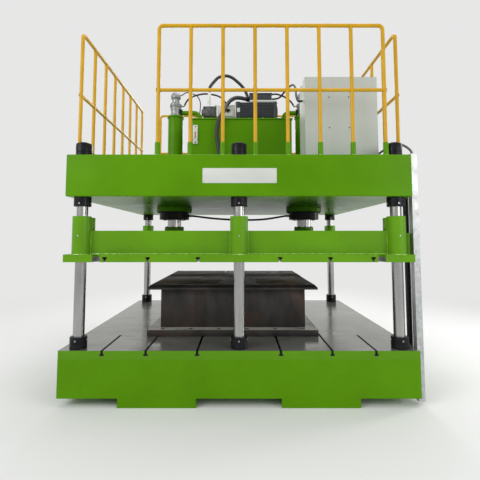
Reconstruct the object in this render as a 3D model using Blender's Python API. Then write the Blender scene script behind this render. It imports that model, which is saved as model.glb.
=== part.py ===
# Hydraulic press with six guide columns, a moving slide and a railed service deck on its crown.
# Metres, +Z up, the floor at z = 0 and the front of the press towards -Y.
# Every place is measured from the empty called machine_axis, which stands on the press's middle line.
import math

import bmesh
import bpy
from mathutils import Matrix, Vector

for old_object in list(bpy.data.objects):
    bpy.data.objects.remove(old_object, do_unlink=True)

# Fits and fineness
seat_gap = 0.0003
run_gap = 0.0003
cut_over = 0.02
weld_merge = 0.00001
round_sides = 16
tube_sides = 6

# Bed: a box on two wide feet, with a T-slotted table on top
bed_w = 3.20
bed_d = 2.60
bed_h = 0.333
edge_chamfer = 0.006
foot_h = 0.080
foot_w = 0.690
foot_centre_x = 0.7215
table_t = 0.075

# T-slots, as seen in the table's and the slide's front edges
slot_xs = (0.370, 0.825, 1.213)
slot_neck_w = 0.022
slot_neck_h = 0.028
slot_head_w = 0.040
slot_head_h = 0.018
slot_front_lengths = (1.00, 1.00, 0.52)
slot_back_lengths = (0.45, 0.45)
slot_pocket_w = 0.062
slot_pocket_l = 0.095

# Columns, front row at -column_y and back row at +column_y
column_xs = (-1.460, 0.0, 1.460)
column_inset = 0.0905
column_r = 0.050
column_depth_in_bed = 0.200
base_collar_r = 0.075
base_collar_h = 0.105
crown_collar_r = 0.077
crown_collar_h = 0.088
collar_chamfer = 0.006
top_nut_r = 0.073
top_nut_h = 0.120
top_nut_dome_r = 0.052
top_nut_dome_h = 0.018
nut_roof_t = 0.020

# Crown
daylight = 1.3735
crown_w = 3.170
crown_setback = 0.004
crown_h = 0.387
nut_seat_depth = 0.002
nut_seat_over = 0.005

# Slide, with the guide sleeves that run on the columns
slide_rise = 0.776
slide_w = 3.178
slide_setback = 0.010
slide_plate_t = 0.069
slide_box_h = 0.217
sleeve_r = 0.0825
sleeve_over_box = 0.132
box_inset = 0.007
bush_wall = 0.012
notch_w = 0.071
notch_l = 0.080
notch_x = 1.290

# Two main cylinders through the crown
cylinder_xs = (-0.820, 0.820)
barrel_r = 0.180
barrel_wall = 0.040
barrel_flange_r = 0.220
barrel_flange_t = 0.052
barrel_over_crown = 0.200
barrel_roof_t = 0.045
neck_r = 0.095
neck_bore_r = 0.060
neck_over_crown = 0.799
gland_r = 0.185
gland_h = 0.093
gland_spigot_h = 0.060
rod_r = 0.085
piston_h = 0.120
piston_over_gland = 0.300
rod_flange_r = 0.120
rod_flange_h = 0.070

# Prefill valves on the cylinder necks
valve_body_r = 0.068
valve_body_h = 0.125
valve_ring_r = 0.074
valve_ring_h = 0.040
valve_cap_r = 0.055
valve_cap_h = 0.106
valve_plug_r = 0.014
valve_plug_h = 0.060

# Oil tank on the crown
tank_x = 0.034
tank_y = 0.0
tank_w = 1.160
tank_d = 0.900
tank_h = 0.615
tank_corner_r = 0.010
lid_t = 0.015
lid_lip = 0.012
gauge_w = 0.058
gauge_h = 0.226
gauge_t = 0.022
gauge_inset = 0.012
gauge_drop = 0.069
gauge_glass_w = 0.026
gauge_glass_h = 0.130
gauge_recess = 0.008
breather_x = 0.380
breather_y = 0.270
breather_r = 0.038
breather_neck_r = 0.026
breather_neck_h = 0.035
breather_h = 0.100

# Pump, bell housing and servo motor in line on the tank's lid
drive_y = -0.250
drive_axis_h = 0.136
pump_x = -0.365
pump_l = 0.185
pump_r = 0.055
pump_nose_r = 0.042
pump_block_w = 0.124
pump_block_l = 0.118
pump_block_chamfer = 0.010
pump_flange_r = 0.074
pump_flange_t = 0.022
pump_port_r = 0.024
pump_port_h = 0.255
bell_l = 0.219
bell_w = 0.150
bell_bore_r = 0.062
bell_window_r = 0.026
bell_window_shift = 0.030
bell_chamfer = 0.012
bell_foot_w = 0.110
motor_l = 0.520
motor_w = 0.210
motor_corner = 0.018
fin_count = 6
fin_depth = 0.008
fin_share = 0.45
motor_foot_l = 0.060
motor_foot_w = 0.160
coupling_r = 0.046
coupling_l = 0.120
coupling_gap_l = 0.010
coupling_waist_r = 0.036
shaft_r = 0.016
shaft_seat_l = 0.020
terminal_x = 0.262
terminal_l = 0.265
terminal_w = 0.150
terminal_h = 0.092
terminal_lid_t = 0.012
terminal_lid_lip = 0.006
terminal_base_t = 0.022
terminal_base_lip = 0.012

# Suction pipes from the tank's lid to the prefill valves
suction_r = 0.031
suction_bend_r = 0.085
suction_flange_r = 0.050
suction_flange_t = 0.018
suction_in_from_edge = 0.042
suction_port_share = 0.42
bend_steps = 4

# Electrical cabinet behind the front railing, its door to the deck
cabinet_x0 = 0.658
cabinet_w = 0.722
cabinet_front_inset = 0.246
cabinet_d = 0.275
cabinet_h = 0.835
cabinet_wall = 0.004
cabinet_lip = 0.022
cabinet_foot_h = 0.012
door_t = 0.020
door_skin = 0.004
door_gap = 0.003
hinge_r = 0.009
hinge_l = 0.070
hinge_play = 0.0005
strap_t = 0.004
strap_gap = 0.0015
strap_l = 0.030
hinge_inset = 0.110
latch_r = 0.022
latch_plate_t = 0.010
latch_lever_l = 0.120
latch_lever_w = 0.022
latch_lever_t = 0.012
latch_stem_r = 0.009
latch_in_from_edge = 0.060
panel_margin = 0.040
panel_t = 0.004
panel_standoff = 0.020
panel_stud_w = 0.030
gear_rows_shares = (0.14, 0.43, 0.70)
gear_heights_shares = (0.16, 0.12, 0.22)
gear_units = (7, 5, 2)
gear_depths = (0.070, 0.085, 0.150)
gear_fill_share = 0.82

# Railings of bent tube with green sockets
rail_post_r = 0.018
rail_mid_r = 0.0165
rail_h = 1.253
rail_mid_share = 0.497
rail_bend_r = 0.045
socket_r = 0.0245
socket_h = 0.120
front_rail_inset = 0.036
front_rail_x0 = -0.762
front_rail_pitch = 0.3045
front_rail_posts = 8
side_rail_inset = 0.040
side_rail_from_front = 0.174
side_rail_from_back = 0.248
side_rail_posts = 8
back_rail_inset = 0.041
back_rail_half_w = 1.297
back_rail_posts = 10

# Cable tray, switch rail and conduit on the right-hand side
tray_w = 0.058
tray_d = 0.070
tray_wall = 0.003
tray_front_inset = 0.055
tray_foot_gap = 0.030
tray_over_crown = 0.020
tray_clip_h = 0.060
switch_w = 0.040
switch_d = 0.034
switch_front_inset = 0.222
switch_stand_off = 0.004
switch_down_bed = 0.220
switch_up_crown = 0.150
switch_block_h = 0.070
switch_channel_w = 0.016
switch_channel_d = 0.010
dog_t = 0.012
dog_clearance = 0.008
dog_h_share = 0.90
core_sink_share = 0.80
conduit_r = 0.011

# Tooling block that stands on the table
block_x = -0.064
block_y = -0.143
block_w = 1.738
block_d = 1.390
block_low_t = 0.063
block_mid_h = 0.404
block_high_t = 0.046
block_step_x = 0.112
block_step_y = 0.120
block_bolt_r = 0.016
block_bolt_count = 6

# Hoses
arc_hose_r = 0.019
front_hose_r = 0.024
valve_hose_r = 0.011
gland_hose_r = 0.012
motor_cable_r = 0.011
route_steps = 3

# Levels and places that follow from the sizes above
bed_top = foot_h + bed_h
table_under = bed_top + seat_gap
table_top = table_under + table_t
crown_under = table_top + daylight
crown_top = crown_under + crown_h
deck = crown_top + seat_gap
nut_under = crown_top - nut_seat_depth + seat_gap
crown_d = bed_d - 2 * crown_setback
slide_d = bed_d - 2 * slide_setback
column_y = bed_d / 2 - column_inset
column_rows = (-column_y, column_y)
column_hole_r = column_r + run_gap
bush_r = column_hole_r + bush_wall
slide_under = table_top + slide_rise
plate_top = slide_under + slide_plate_t
slide_box_top = plate_top + slide_box_h
sleeve_top = slide_box_top + sleeve_over_box
bed_side = bed_w / 2
tray_x0 = bed_side + seat_gap
tray_x1 = tray_x0 + tray_w
axis_x = -(tray_x1 - bed_side) / 2
neck_top = crown_top + neck_over_crown
bore_r = barrel_r - barrel_wall
gland_top = crown_under - barrel_flange_t - seat_gap
gland_under = gland_top - gland_h
tank_top = deck + tank_h
lid_under = tank_top + seat_gap
lid_top = lid_under + lid_t
drive_z = lid_top + drive_axis_h
rail_top = deck + rail_h
cabinet_front_y = -crown_d / 2 + cabinet_front_inset
rail_mid = deck + rail_h * rail_mid_share


def principled(name, colour, metallic, roughness):
    made = bpy.data.materials.new(name)
    made.use_nodes = True
    shader = made.node_tree.nodes["Principled BSDF"]
    shader.inputs["Base Color"].default_value = (*colour, 1.0)
    shader.inputs["Metallic"].default_value = metallic
    shader.inputs["Roughness"].default_value = roughness
    made.diffuse_color = (*colour, 1.0)
    return made


green_paint = principled("green_paint", (0.09, 0.27, 0.0), 0.0, 0.3)
yellow_paint = principled("yellow_paint", (0.83, 0.43, 0.02), 0.0, 0.35)
bare_steel = principled("bare_steel", (0.42, 0.43, 0.40), 0.9, 0.35)
hard_chrome = principled("hard_chrome", (0.62, 0.62, 0.60), 1.0, 0.18)
black_oxide = principled("black_oxide", (0.02, 0.02, 0.022), 0.3, 0.45)
bronze = principled("bronze", (0.45, 0.28, 0.10), 1.0, 0.35)
cast_grey = principled("cast_grey", (0.16, 0.17, 0.17), 0.5, 0.5)
alloy_grey = principled("alloy_grey", (0.48, 0.49, 0.48), 0.6, 0.4)
motor_black = principled("motor_black", (0.018, 0.02, 0.024), 0.1, 0.4)
cabinet_grey = principled("cabinet_grey", (0.62, 0.64, 0.60), 0.0, 0.45)
zinc_plate = principled("zinc_plate", (0.55, 0.57, 0.56), 0.9, 0.4)
scaled_steel = principled("scaled_steel", (0.05, 0.043, 0.038), 0.4, 0.6)
hose_black = principled("hose_black", (0.015, 0.015, 0.016), 0.0, 0.5)
gauge_white = principled("gauge_white", (0.7, 0.72, 0.68), 0.0, 0.4)
gear_white = principled("gear_white", (0.6, 0.6, 0.57), 0.0, 0.5)


def axis_empty(name, place, parent=None):
    empty = bpy.data.objects.new(name, None)
    bpy.context.scene.collection.objects.link(empty)
    empty.location = place
    empty.parent = parent
    return empty


machine_axis = axis_empty("machine_axis", (axis_x, 0.0, 0.0))


def finish(name, shape, look, parent=None, origin=(0.0, 0.0, 0.0)):
    # The mesh is given in machine places; the origin becomes the object's own zero.
    bmesh.ops.remove_doubles(shape, verts=shape.verts[:], dist=weld_merge)
    bmesh.ops.recalc_face_normals(shape, faces=shape.faces[:])
    bmesh.ops.translate(shape, verts=shape.verts[:], vec=-Vector(origin))
    mesh = bpy.data.meshes.new(name)
    shape.to_mesh(mesh)
    shape.free()
    mesh.shade_smooth()
    mesh.set_sharp_from_angle(angle=math.radians(30.0))
    made = bpy.data.objects.new(name, mesh)
    bpy.context.scene.collection.objects.link(made)
    if look is not None:
        mesh.materials.append(look)
    made.parent = parent or machine_axis
    made.location = origin
    return made


def box_shape(low, high, chamfer=0.0):
    shape = bmesh.new()
    size = [high[i] - low[i] for i in range(3)]
    middle = [(high[i] + low[i]) / 2 for i in range(3)]
    bmesh.ops.create_cube(shape, size=1.0)
    bmesh.ops.scale(shape, vec=size, verts=shape.verts[:])
    bmesh.ops.translate(shape, vec=middle, verts=shape.verts[:])
    if chamfer > 0.0:
        bmesh.ops.bevel(shape, geom=shape.edges[:], offset=chamfer, segments=1, profile=0.5,
                        affect="EDGES", material=-1)
    return shape


def box(name, low, high, look, chamfer=0.0, parent=None, origin=(0.0, 0.0, 0.0)):
    return finish(name, box_shape(low, high, chamfer), look, parent, origin)


def set_upright(shape, place, axis):
    # Turns a shape made along Z towards the wanted axis, and moves it to its place.
    turns = {"Z": Matrix.Identity(4), "X": Matrix.Rotation(math.pi / 2, 4, "Y"),
             "Y": Matrix.Rotation(-math.pi / 2, 4, "X")}
    bmesh.ops.transform(shape, matrix=Matrix.Translation(place) @ turns[axis], verts=shape.verts[:])
    return shape


def turned_shape(profile, place, axis="Z", sides=round_sides):
    # The profile is radius and height pairs; it closes on itself, or on the axis.
    shape = bmesh.new()
    ring = [shape.verts.new((radius, 0.0, height)) for radius, height in profile]
    edges = [shape.edges.new(pair) for pair in zip(ring, ring[1:])]
    if profile[0][0] > 0.0 or profile[-1][0] > 0.0:
        edges.append(shape.edges.new((ring[-1], ring[0])))
    bmesh.ops.spin(shape, geom=ring + edges, cent=(0, 0, 0), axis=(0, 0, 1), dvec=(0, 0, 0),
                   angle=2 * math.pi, steps=sides, use_merge=True, use_duplicate=False)
    bmesh.ops.remove_doubles(shape, verts=shape.verts[:], dist=weld_merge)
    return set_upright(shape, place, axis)


def turned(name, profile, place, look, axis="Z", parent=None, origin=(0.0, 0.0, 0.0)):
    return finish(name, turned_shape(profile, place, axis), look, parent, origin)


def rod_shape(radius, start, end, axis="Z", sides=round_sides):
    # A plain cylinder that runs along one axis from start to the same point moved to end.
    length = end - start["XYZ".index(axis)]
    shape = bmesh.new()
    bmesh.ops.create_cone(shape, cap_ends=True, cap_tris=False, segments=sides, radius1=radius,
                          radius2=radius, depth=length)
    bmesh.ops.translate(shape, verts=shape.verts[:], vec=(0.0, 0.0, length / 2))
    return set_upright(shape, start, axis)


def prism_shape(outline, axis, start, end):
    # The outline's pairs are (y, z) for axis X, (x, z) for axis Y and (x, y) for axis Z.
    shape = bmesh.new()
    spread = {"X": lambda a, b: (start, a, b), "Y": lambda a, b: (a, start, b),
              "Z": lambda a, b: (a, b, start)}[axis]
    face = shape.faces.new([shape.verts.new(spread(a, b)) for a, b in outline])
    grown = bmesh.ops.extrude_face_region(shape, geom=[face])
    moved = [item for item in grown["geom"] if isinstance(item, bmesh.types.BMVert)]
    step = Vector([end - start if letter == axis else 0.0 for letter in "XYZ"])
    bmesh.ops.translate(shape, vec=step, verts=moved)
    return shape


def merged_shape(shapes):
    # Several separate closed shapes in one mesh, for cutters that don't touch each other.
    whole = bmesh.new()
    for shape in shapes:
        passing = bpy.data.meshes.new("passing")
        shape.to_mesh(passing)
        shape.free()
        whole.from_mesh(passing)
        bpy.data.meshes.remove(passing)
    return whole


def boolean(target, shape, operation):
    # Cuts a shape from a piece, or joins it on; the guide object stays hidden.
    guide = finish(target.name + "_guide", shape, None, target.parent)
    guide.hide_render = True
    guide.display_type = "WIRE"
    guide.hide_set(True)
    change = target.modifiers.new(operation.lower(), "BOOLEAN")
    change.operation = operation
    change.solver = "EXACT"
    change.object = guide


def cut(target, *shapes):
    for shape in shapes:
        boolean(target, shape, "DIFFERENCE")


def join(target, *shapes):
    for shape in shapes:
        boolean(target, shape, "UNION")


def smooth_route(points):
    # A smooth curve through the points, with its first and last stretches straight.
    route = [Vector(points[0])]
    for i in range(1, len(points) - 2):
        before, here, after, beyond = (Vector(points[i + k]) for k in (-1, 0, 1, 2))
        for step in range(route_steps):
            t = step / route_steps
            bend = 2 * before - 5 * here + 4 * after - beyond
            twist = 3 * here - before - 3 * after + beyond
            route.append(here + (t * (after - before) + t * t * bend + t ** 3 * twist) / 2)
    route.append(Vector(points[-2]))
    route.append(Vector(points[-1]))
    return route


def tube_shape(points, radius, resolution=2):
    # A round tube along a path, made by a bevelled curve.
    curve = bpy.data.curves.new("path", "CURVE")
    curve.dimensions = "3D"
    curve.bevel_depth = radius
    curve.bevel_resolution = resolution
    curve.use_fill_caps = True
    spline = curve.splines.new("POLY")
    spline.points.add(len(points) - 1)
    for knot, point in zip(spline.points, points):
        knot.co = (*point, 1.0)
    carrier = bpy.data.objects.new("path", curve)
    bpy.context.scene.collection.objects.link(carrier)
    mesh = bpy.data.meshes.new_from_object(carrier.evaluated_get(bpy.context.evaluated_depsgraph_get()))
    bpy.data.objects.remove(carrier, do_unlink=True)
    bpy.data.curves.remove(curve)
    shape = bmesh.new()
    shape.from_mesh(mesh)
    bpy.data.meshes.remove(mesh)
    bmesh.ops.remove_doubles(shape, verts=shape.verts[:], dist=weld_merge)
    return shape


def corner_bend(corner, start_way, end_way, radius):
    # Points round a corner, from the way in to the way out, both unit vectors.
    start_way = Vector(start_way)
    end_way = Vector(end_way)
    middle = Vector(corner) - start_way * radius + end_way * radius
    points = []
    for step in range(bend_steps + 1):
        angle = math.pi / 2 * step / bend_steps
        points.append(middle - end_way * radius * math.cos(angle) + start_way * radius * math.sin(angle))
    return points


def t_slot_shape(x, edge_y, length, face_z, down):
    # A T-slot from the edge inwards; down is -1 where the slot opens upwards, 1 where it opens downwards.
    inward = -1.0 if edge_y > 0.0 else 1.0
    neck = slot_neck_w / 2
    head = slot_head_w / 2
    lips = face_z + down * slot_neck_h
    floor = lips + down * slot_head_h
    mouth = face_z - down * cut_over
    outline = ((x - neck, mouth), (x - neck, lips), (x - head, lips), (x - head, floor),
               (x + head, floor), (x + head, lips), (x + neck, lips), (x + neck, mouth))
    start = edge_y - inward * cut_over
    return prism_shape(outline, "Y", start, edge_y + inward * length)


def make_bed():
    feet = []
    for side in (-1, 1):
        inner = side * (foot_centre_x - foot_w / 2)
        outer = side * (foot_centre_x + foot_w / 2)
        feet.append((inner, outer))
    left_outer, left_inner = feet[0][1], feet[0][0]
    right_inner, right_outer = feet[1]
    outline = ((-bed_side, bed_top), (-bed_side, foot_h), (left_outer, foot_h), (left_outer, 0.0),
               (left_inner, 0.0), (left_inner, foot_h), (right_inner, foot_h), (right_inner, 0.0),
               (right_outer, 0.0), (right_outer, foot_h), (bed_side, foot_h), (bed_side, bed_top))
    bed = finish("bed_frame", prism_shape(outline, "Y", -bed_d / 2, bed_d / 2), green_paint)
    socket_floor = bed_top - column_depth_in_bed - seat_gap
    sockets = [rod_shape(column_hole_r, (x, y, socket_floor), bed_top + cut_over)
               for x in column_xs for y in column_rows]
    cut(bed, merged_shape(sockets))


def make_table():
    table = box("table_plate", (-bed_side, -bed_d / 2, table_under), (bed_side, bed_d / 2, table_top),
                bare_steel)
    holes = [rod_shape(column_hole_r, (x, y, table_under - cut_over), table_top + cut_over)
             for x in column_xs for y in column_rows]
    slots = []
    for side in (-1, 1):
        for x, length in zip(slot_xs, slot_front_lengths):
            slots.append(t_slot_shape(side * x, -bed_d / 2, length, table_top, -1))
        for x, length in zip(slot_xs, slot_back_lengths):
            slots.append(t_slot_shape(side * x, bed_d / 2, length, table_top, -1))
    slot_floor = table_top - slot_neck_h - slot_head_h
    pockets = []
    for side in (-1, 1):
        end_y = -bed_d / 2 + slot_front_lengths[1]
        low = (side * slot_xs[1] - slot_pocket_w / 2, end_y - slot_pocket_l / 2, slot_floor)
        high = (side * slot_xs[1] + slot_pocket_w / 2, end_y + slot_pocket_l / 2, table_top + cut_over)
        pockets.append(box_shape(low, high))
    cut(table, merged_shape(holes + slots), merged_shape(pockets))


def make_columns():
    foot = bed_top - column_depth_in_bed
    collar_under = table_top + seat_gap
    collar_top = collar_under + base_collar_h
    upper_top = crown_under - seat_gap
    upper_under = upper_top - crown_collar_h
    head = nut_under + top_nut_h - nut_roof_t
    profile = ((0.0, foot), (column_r, foot), (column_r, collar_under), (base_collar_r, collar_under),
               (base_collar_r, collar_top - collar_chamfer), (base_collar_r - collar_chamfer, collar_top),
               (column_r, collar_top), (column_r, upper_under),
               (crown_collar_r - collar_chamfer, upper_under),
               (crown_collar_r, upper_under + collar_chamfer), (crown_collar_r, upper_top),
               (column_r, upper_top), (column_r, head), (0.0, head))
    for row, y in zip(("front", "back"), column_rows):
        for place, x in zip(("left", "middle", "right"), column_xs):
            turned(f"column_{row}_{place}", profile, (x, y, 0.0), hard_chrome)


def make_top_nuts():
    inner = column_r + run_gap
    roof = nut_under + top_nut_h - nut_roof_t + seat_gap
    top = nut_under + top_nut_h
    profile = ((0.0, roof), (inner, roof), (inner, nut_under), (top_nut_r, nut_under),
               (top_nut_r, top - collar_chamfer), (top_nut_r - collar_chamfer, top),
               (top_nut_dome_r, top), (top_nut_dome_r / 2, top + top_nut_dome_h), (0.0, top + top_nut_dome_h))
    for row, y in zip(("front", "back"), column_rows):
        for place, x in zip(("left", "middle", "right"), column_xs):
            turned(f"top_nut_{row}_{place}", profile, (x, y, 0.0), black_oxide)


def make_crown():
    crown = box("crown_frame", (-crown_w / 2, -crown_d / 2, crown_under),
                (crown_w / 2, crown_d / 2, crown_top), green_paint, edge_chamfer)
    low = crown_under - cut_over
    high = crown_top + cut_over
    holes = [rod_shape(column_hole_r, (x, y, low), high) for x in column_xs for y in column_rows]
    bores = [rod_shape(barrel_r + seat_gap, (x, 0.0, low), high) for x in cylinder_xs]
    seats = [rod_shape(top_nut_r + nut_seat_over, (x, y, crown_top - nut_seat_depth), high)
             for x in column_xs for y in column_rows]
    cut(crown, merged_shape(holes + bores), merged_shape(seats))


def make_cylinders(slide_axis):
    flange_under = crown_under - barrel_flange_t
    flange_top = crown_under - seat_gap
    shoulder = crown_top + barrel_over_crown
    bore_top = shoulder - barrel_roof_t
    barrel = ((bore_r, flange_under), (barrel_flange_r, flange_under), (barrel_flange_r, flange_top),
              (barrel_r, flange_top), (barrel_r, shoulder), (neck_r, shoulder), (neck_r, neck_top),
              (neck_bore_r, neck_top), (neck_bore_r, bore_top), (bore_r, bore_top))
    spigot_r = bore_r - seat_gap
    spigot_top = gland_top + gland_spigot_h
    rod_hole = rod_r + run_gap
    gland = ((rod_hole, gland_under), (gland_r - collar_chamfer, gland_under),
             (gland_r, gland_under + collar_chamfer), (gland_r, gland_top), (spigot_r, gland_top),
             (spigot_r, spigot_top), (rod_hole, spigot_top))
    piston_r = bore_r - run_gap
    piston_under = spigot_top + piston_over_gland
    piston_top = piston_under + piston_h
    seat = slide_box_top + seat_gap
    flange = seat + rod_flange_h
    rod = ((0.0, seat), (rod_flange_r, seat), (rod_flange_r, flange), (rod_r, flange),
           (rod_r, piston_under), (piston_r, piston_under), (piston_r, piston_top), (0.0, piston_top))
    for place, x in zip(("left", "right"), cylinder_xs):
        turned(f"cylinder_barrel_{place}", barrel, (x, 0.0, 0.0), green_paint)
        turned(f"cylinder_gland_{place}", gland, (x, 0.0, 0.0), black_oxide)
        turned(f"piston_rod_{place}", rod, (x, 0.0, 0.0), hard_chrome, parent=slide_axis)


def make_slide(slide_axis):
    half_w = slide_w / 2
    half_d = slide_d / 2
    slide = box("slide_frame", (-half_w, -half_d, slide_under), (half_w, half_d, plate_top), green_paint,
                parent=slide_axis)
    slots = []
    notches = []
    for side in (-1, 1):
        for x in slot_xs:
            slots.append(t_slot_shape(side * x, -half_d, slide_d + cut_over, slide_under, 1))
        for end in (-1, 1):
            edge = end * (half_d + cut_over)
            foot = end * (half_d - notch_l)
            middle = side * notch_x
            notches.append(box_shape((middle - notch_w / 2, min(edge, foot), slide_under - cut_over),
                                     (middle + notch_w / 2, max(edge, foot), plate_top + cut_over)))
    cut(slide, merged_shape(slots + notches))
    box_x = column_xs[-1] - box_inset
    box_y = column_y - box_inset
    core = box_shape((-box_x, -box_y, slide_under + slide_plate_t * core_sink_share),
                     (box_x, box_y, slide_box_top))
    sleeves = [rod_shape(sleeve_r, (x, y, slide_under + slide_plate_t / 2), sleeve_top)
               for x in column_xs for y in column_rows]
    dog_y1 = -bed_d / 2 + switch_front_inset - dog_clearance
    dog_x1 = tray_x0 + switch_stand_off + switch_w
    dog = box_shape((box_x - column_r, dog_y1 - dog_t, plate_top - slide_plate_t / 4),
                    (dog_x1, dog_y1, plate_top + slide_box_h * dog_h_share))
    join(slide, core, merged_shape(sleeves), dog)
    bores = [rod_shape(bush_r + seat_gap, (x, y, slide_under - cut_over), sleeve_top + cut_over)
             for x in column_xs for y in column_rows]
    cut(slide, merged_shape(bores))
    bush = ((column_hole_r, slide_under), (bush_r, slide_under), (bush_r, sleeve_top),
            (column_hole_r, sleeve_top))
    for row, y in zip(("front", "back"), column_rows):
        for place, x in zip(("left", "middle", "right"), column_xs):
            turned(f"guide_bush_{row}_{place}", bush, (x, y, 0.0), bronze, parent=slide_axis)


def make_valves():
    under = neck_top + seat_gap
    ring = under + valve_body_h
    cap = ring + valve_ring_h
    plug = cap + valve_cap_h
    profile = ((0.0, under), (valve_body_r, under), (valve_body_r, ring), (valve_ring_r, ring),
               (valve_ring_r, cap), (valve_cap_r, cap), (valve_cap_r, plug - collar_chamfer),
               (valve_cap_r - collar_chamfer, plug), (valve_plug_r, plug),
               (valve_plug_r, plug + valve_plug_h), (0.0, plug + valve_plug_h))
    for place, x in zip(("left", "right"), cylinder_xs):
        turned(f"prefill_valve_{place}", profile, (x, 0.0, 0.0), cast_grey)


def make_suction_pipes():
    port_z = neck_top + seat_gap + valve_body_h * suction_port_share
    for place, x in zip(("left", "right"), cylinder_xs):
        inward = 1.0 if x < 0.0 else -1.0
        lid_edge = tank_x - inward * tank_w / 2
        drop_x = lid_edge + inward * suction_in_from_edge
        sink = suction_flange_t / 2
        face_x = x + inward * (valve_body_r + seat_gap)
        foot_z = lid_top + seat_gap
        start = (face_x + inward * sink, 0.0, port_z)
        foot = (drop_x, 0.0, foot_z + sink)
        bend = corner_bend((drop_x, 0.0, port_z), (inward, 0.0, 0.0), (0.0, 0.0, -1.0), suction_bend_r)
        pipe = finish(f"suction_pipe_{place}", tube_shape([start, *bend, foot], suction_r), green_paint)
        flange_x0 = min(face_x, face_x + inward * suction_flange_t)
        side_flange = rod_shape(suction_flange_r, (flange_x0, 0.0, port_z), flange_x0 + suction_flange_t, "X")
        foot_flange = rod_shape(suction_flange_r, (drop_x, 0.0, foot_z), foot_z + suction_flange_t)
        join(pipe, side_flange, foot_flange)


def make_tank():
    half_w = tank_w / 2
    half_d = tank_d / 2
    body = box_shape((tank_x - half_w, tank_y - half_d, deck), (tank_x + half_w, tank_y + half_d, tank_top))
    uprights = [edge for edge in body.edges if abs(edge.verts[0].co.z - edge.verts[1].co.z) > tank_h / 2]
    bmesh.ops.bevel(body, geom=uprights, offset=tank_corner_r, segments=3, profile=0.5,
                    affect="EDGES", material=-1)
    finish("oil_tank", body, green_paint)
    lip_w = half_w + lid_lip
    lip_d = half_d + lid_lip
    box("tank_lid", (tank_x - lip_w, tank_y - lip_d, lid_under), (tank_x + lip_w, tank_y + lip_d, lid_top),
        green_paint, lid_t / 5)
    gauge_x0 = tank_x - half_w + tank_corner_r
    gauge_y1 = tank_y - half_d - seat_gap
    gauge_z1 = tank_top - gauge_drop
    gauge = box("level_gauge", (gauge_x0, gauge_y1 - gauge_t, gauge_z1 - gauge_h),
                (gauge_x0 + gauge_w, gauge_y1, gauge_z1), gauge_white, gauge_t / 4)
    middle_x = gauge_x0 + gauge_w / 2
    middle_z = gauge_z1 - gauge_h / 2
    cut(gauge, box_shape((middle_x - gauge_glass_w / 2, gauge_y1 - gauge_t - cut_over,
                          middle_z - gauge_glass_h / 2),
                         (middle_x + gauge_glass_w / 2, gauge_y1 - gauge_t + gauge_recess,
                          middle_z + gauge_glass_h / 2)))
    under = lid_top + seat_gap
    cap_under = under + breather_neck_h
    top = under + breather_h
    profile = ((0.0, under), (breather_neck_r, under), (breather_neck_r, cap_under),
               (breather_r, cap_under), (breather_r, top - collar_chamfer),
               (breather_r - collar_chamfer, top), (0.0, top))
    turned("filler_breather", profile, (breather_x, breather_y, 0.0), black_oxide)


def finned_outline():
    # A rounded square with cooling grooves along its top, front and back.
    half = motor_w / 2
    flat = half - motor_corner
    pitch = 2 * flat / fin_count
    groove = pitch * fin_share
    side = [(-flat, half)]
    for i in range(fin_count):
        middle = -flat + pitch * (i + 1 / 2)
        side += [(middle - groove / 2, half), (middle - groove / 2, half - fin_depth),
                 (middle + groove / 2, half - fin_depth), (middle + groove / 2, half)]
    side.append((flat, half))
    outline = []
    for turn in range(4):
        cos, sin = ((1, 0), (0, -1), (-1, 0), (0, 1))[turn]
        chosen = side if turn != 2 else [side[0], side[-1]]
        outline += [(drive_y + a * cos - b * sin, drive_z + a * sin + b * cos) for a, b in chosen]
    return outline


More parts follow.
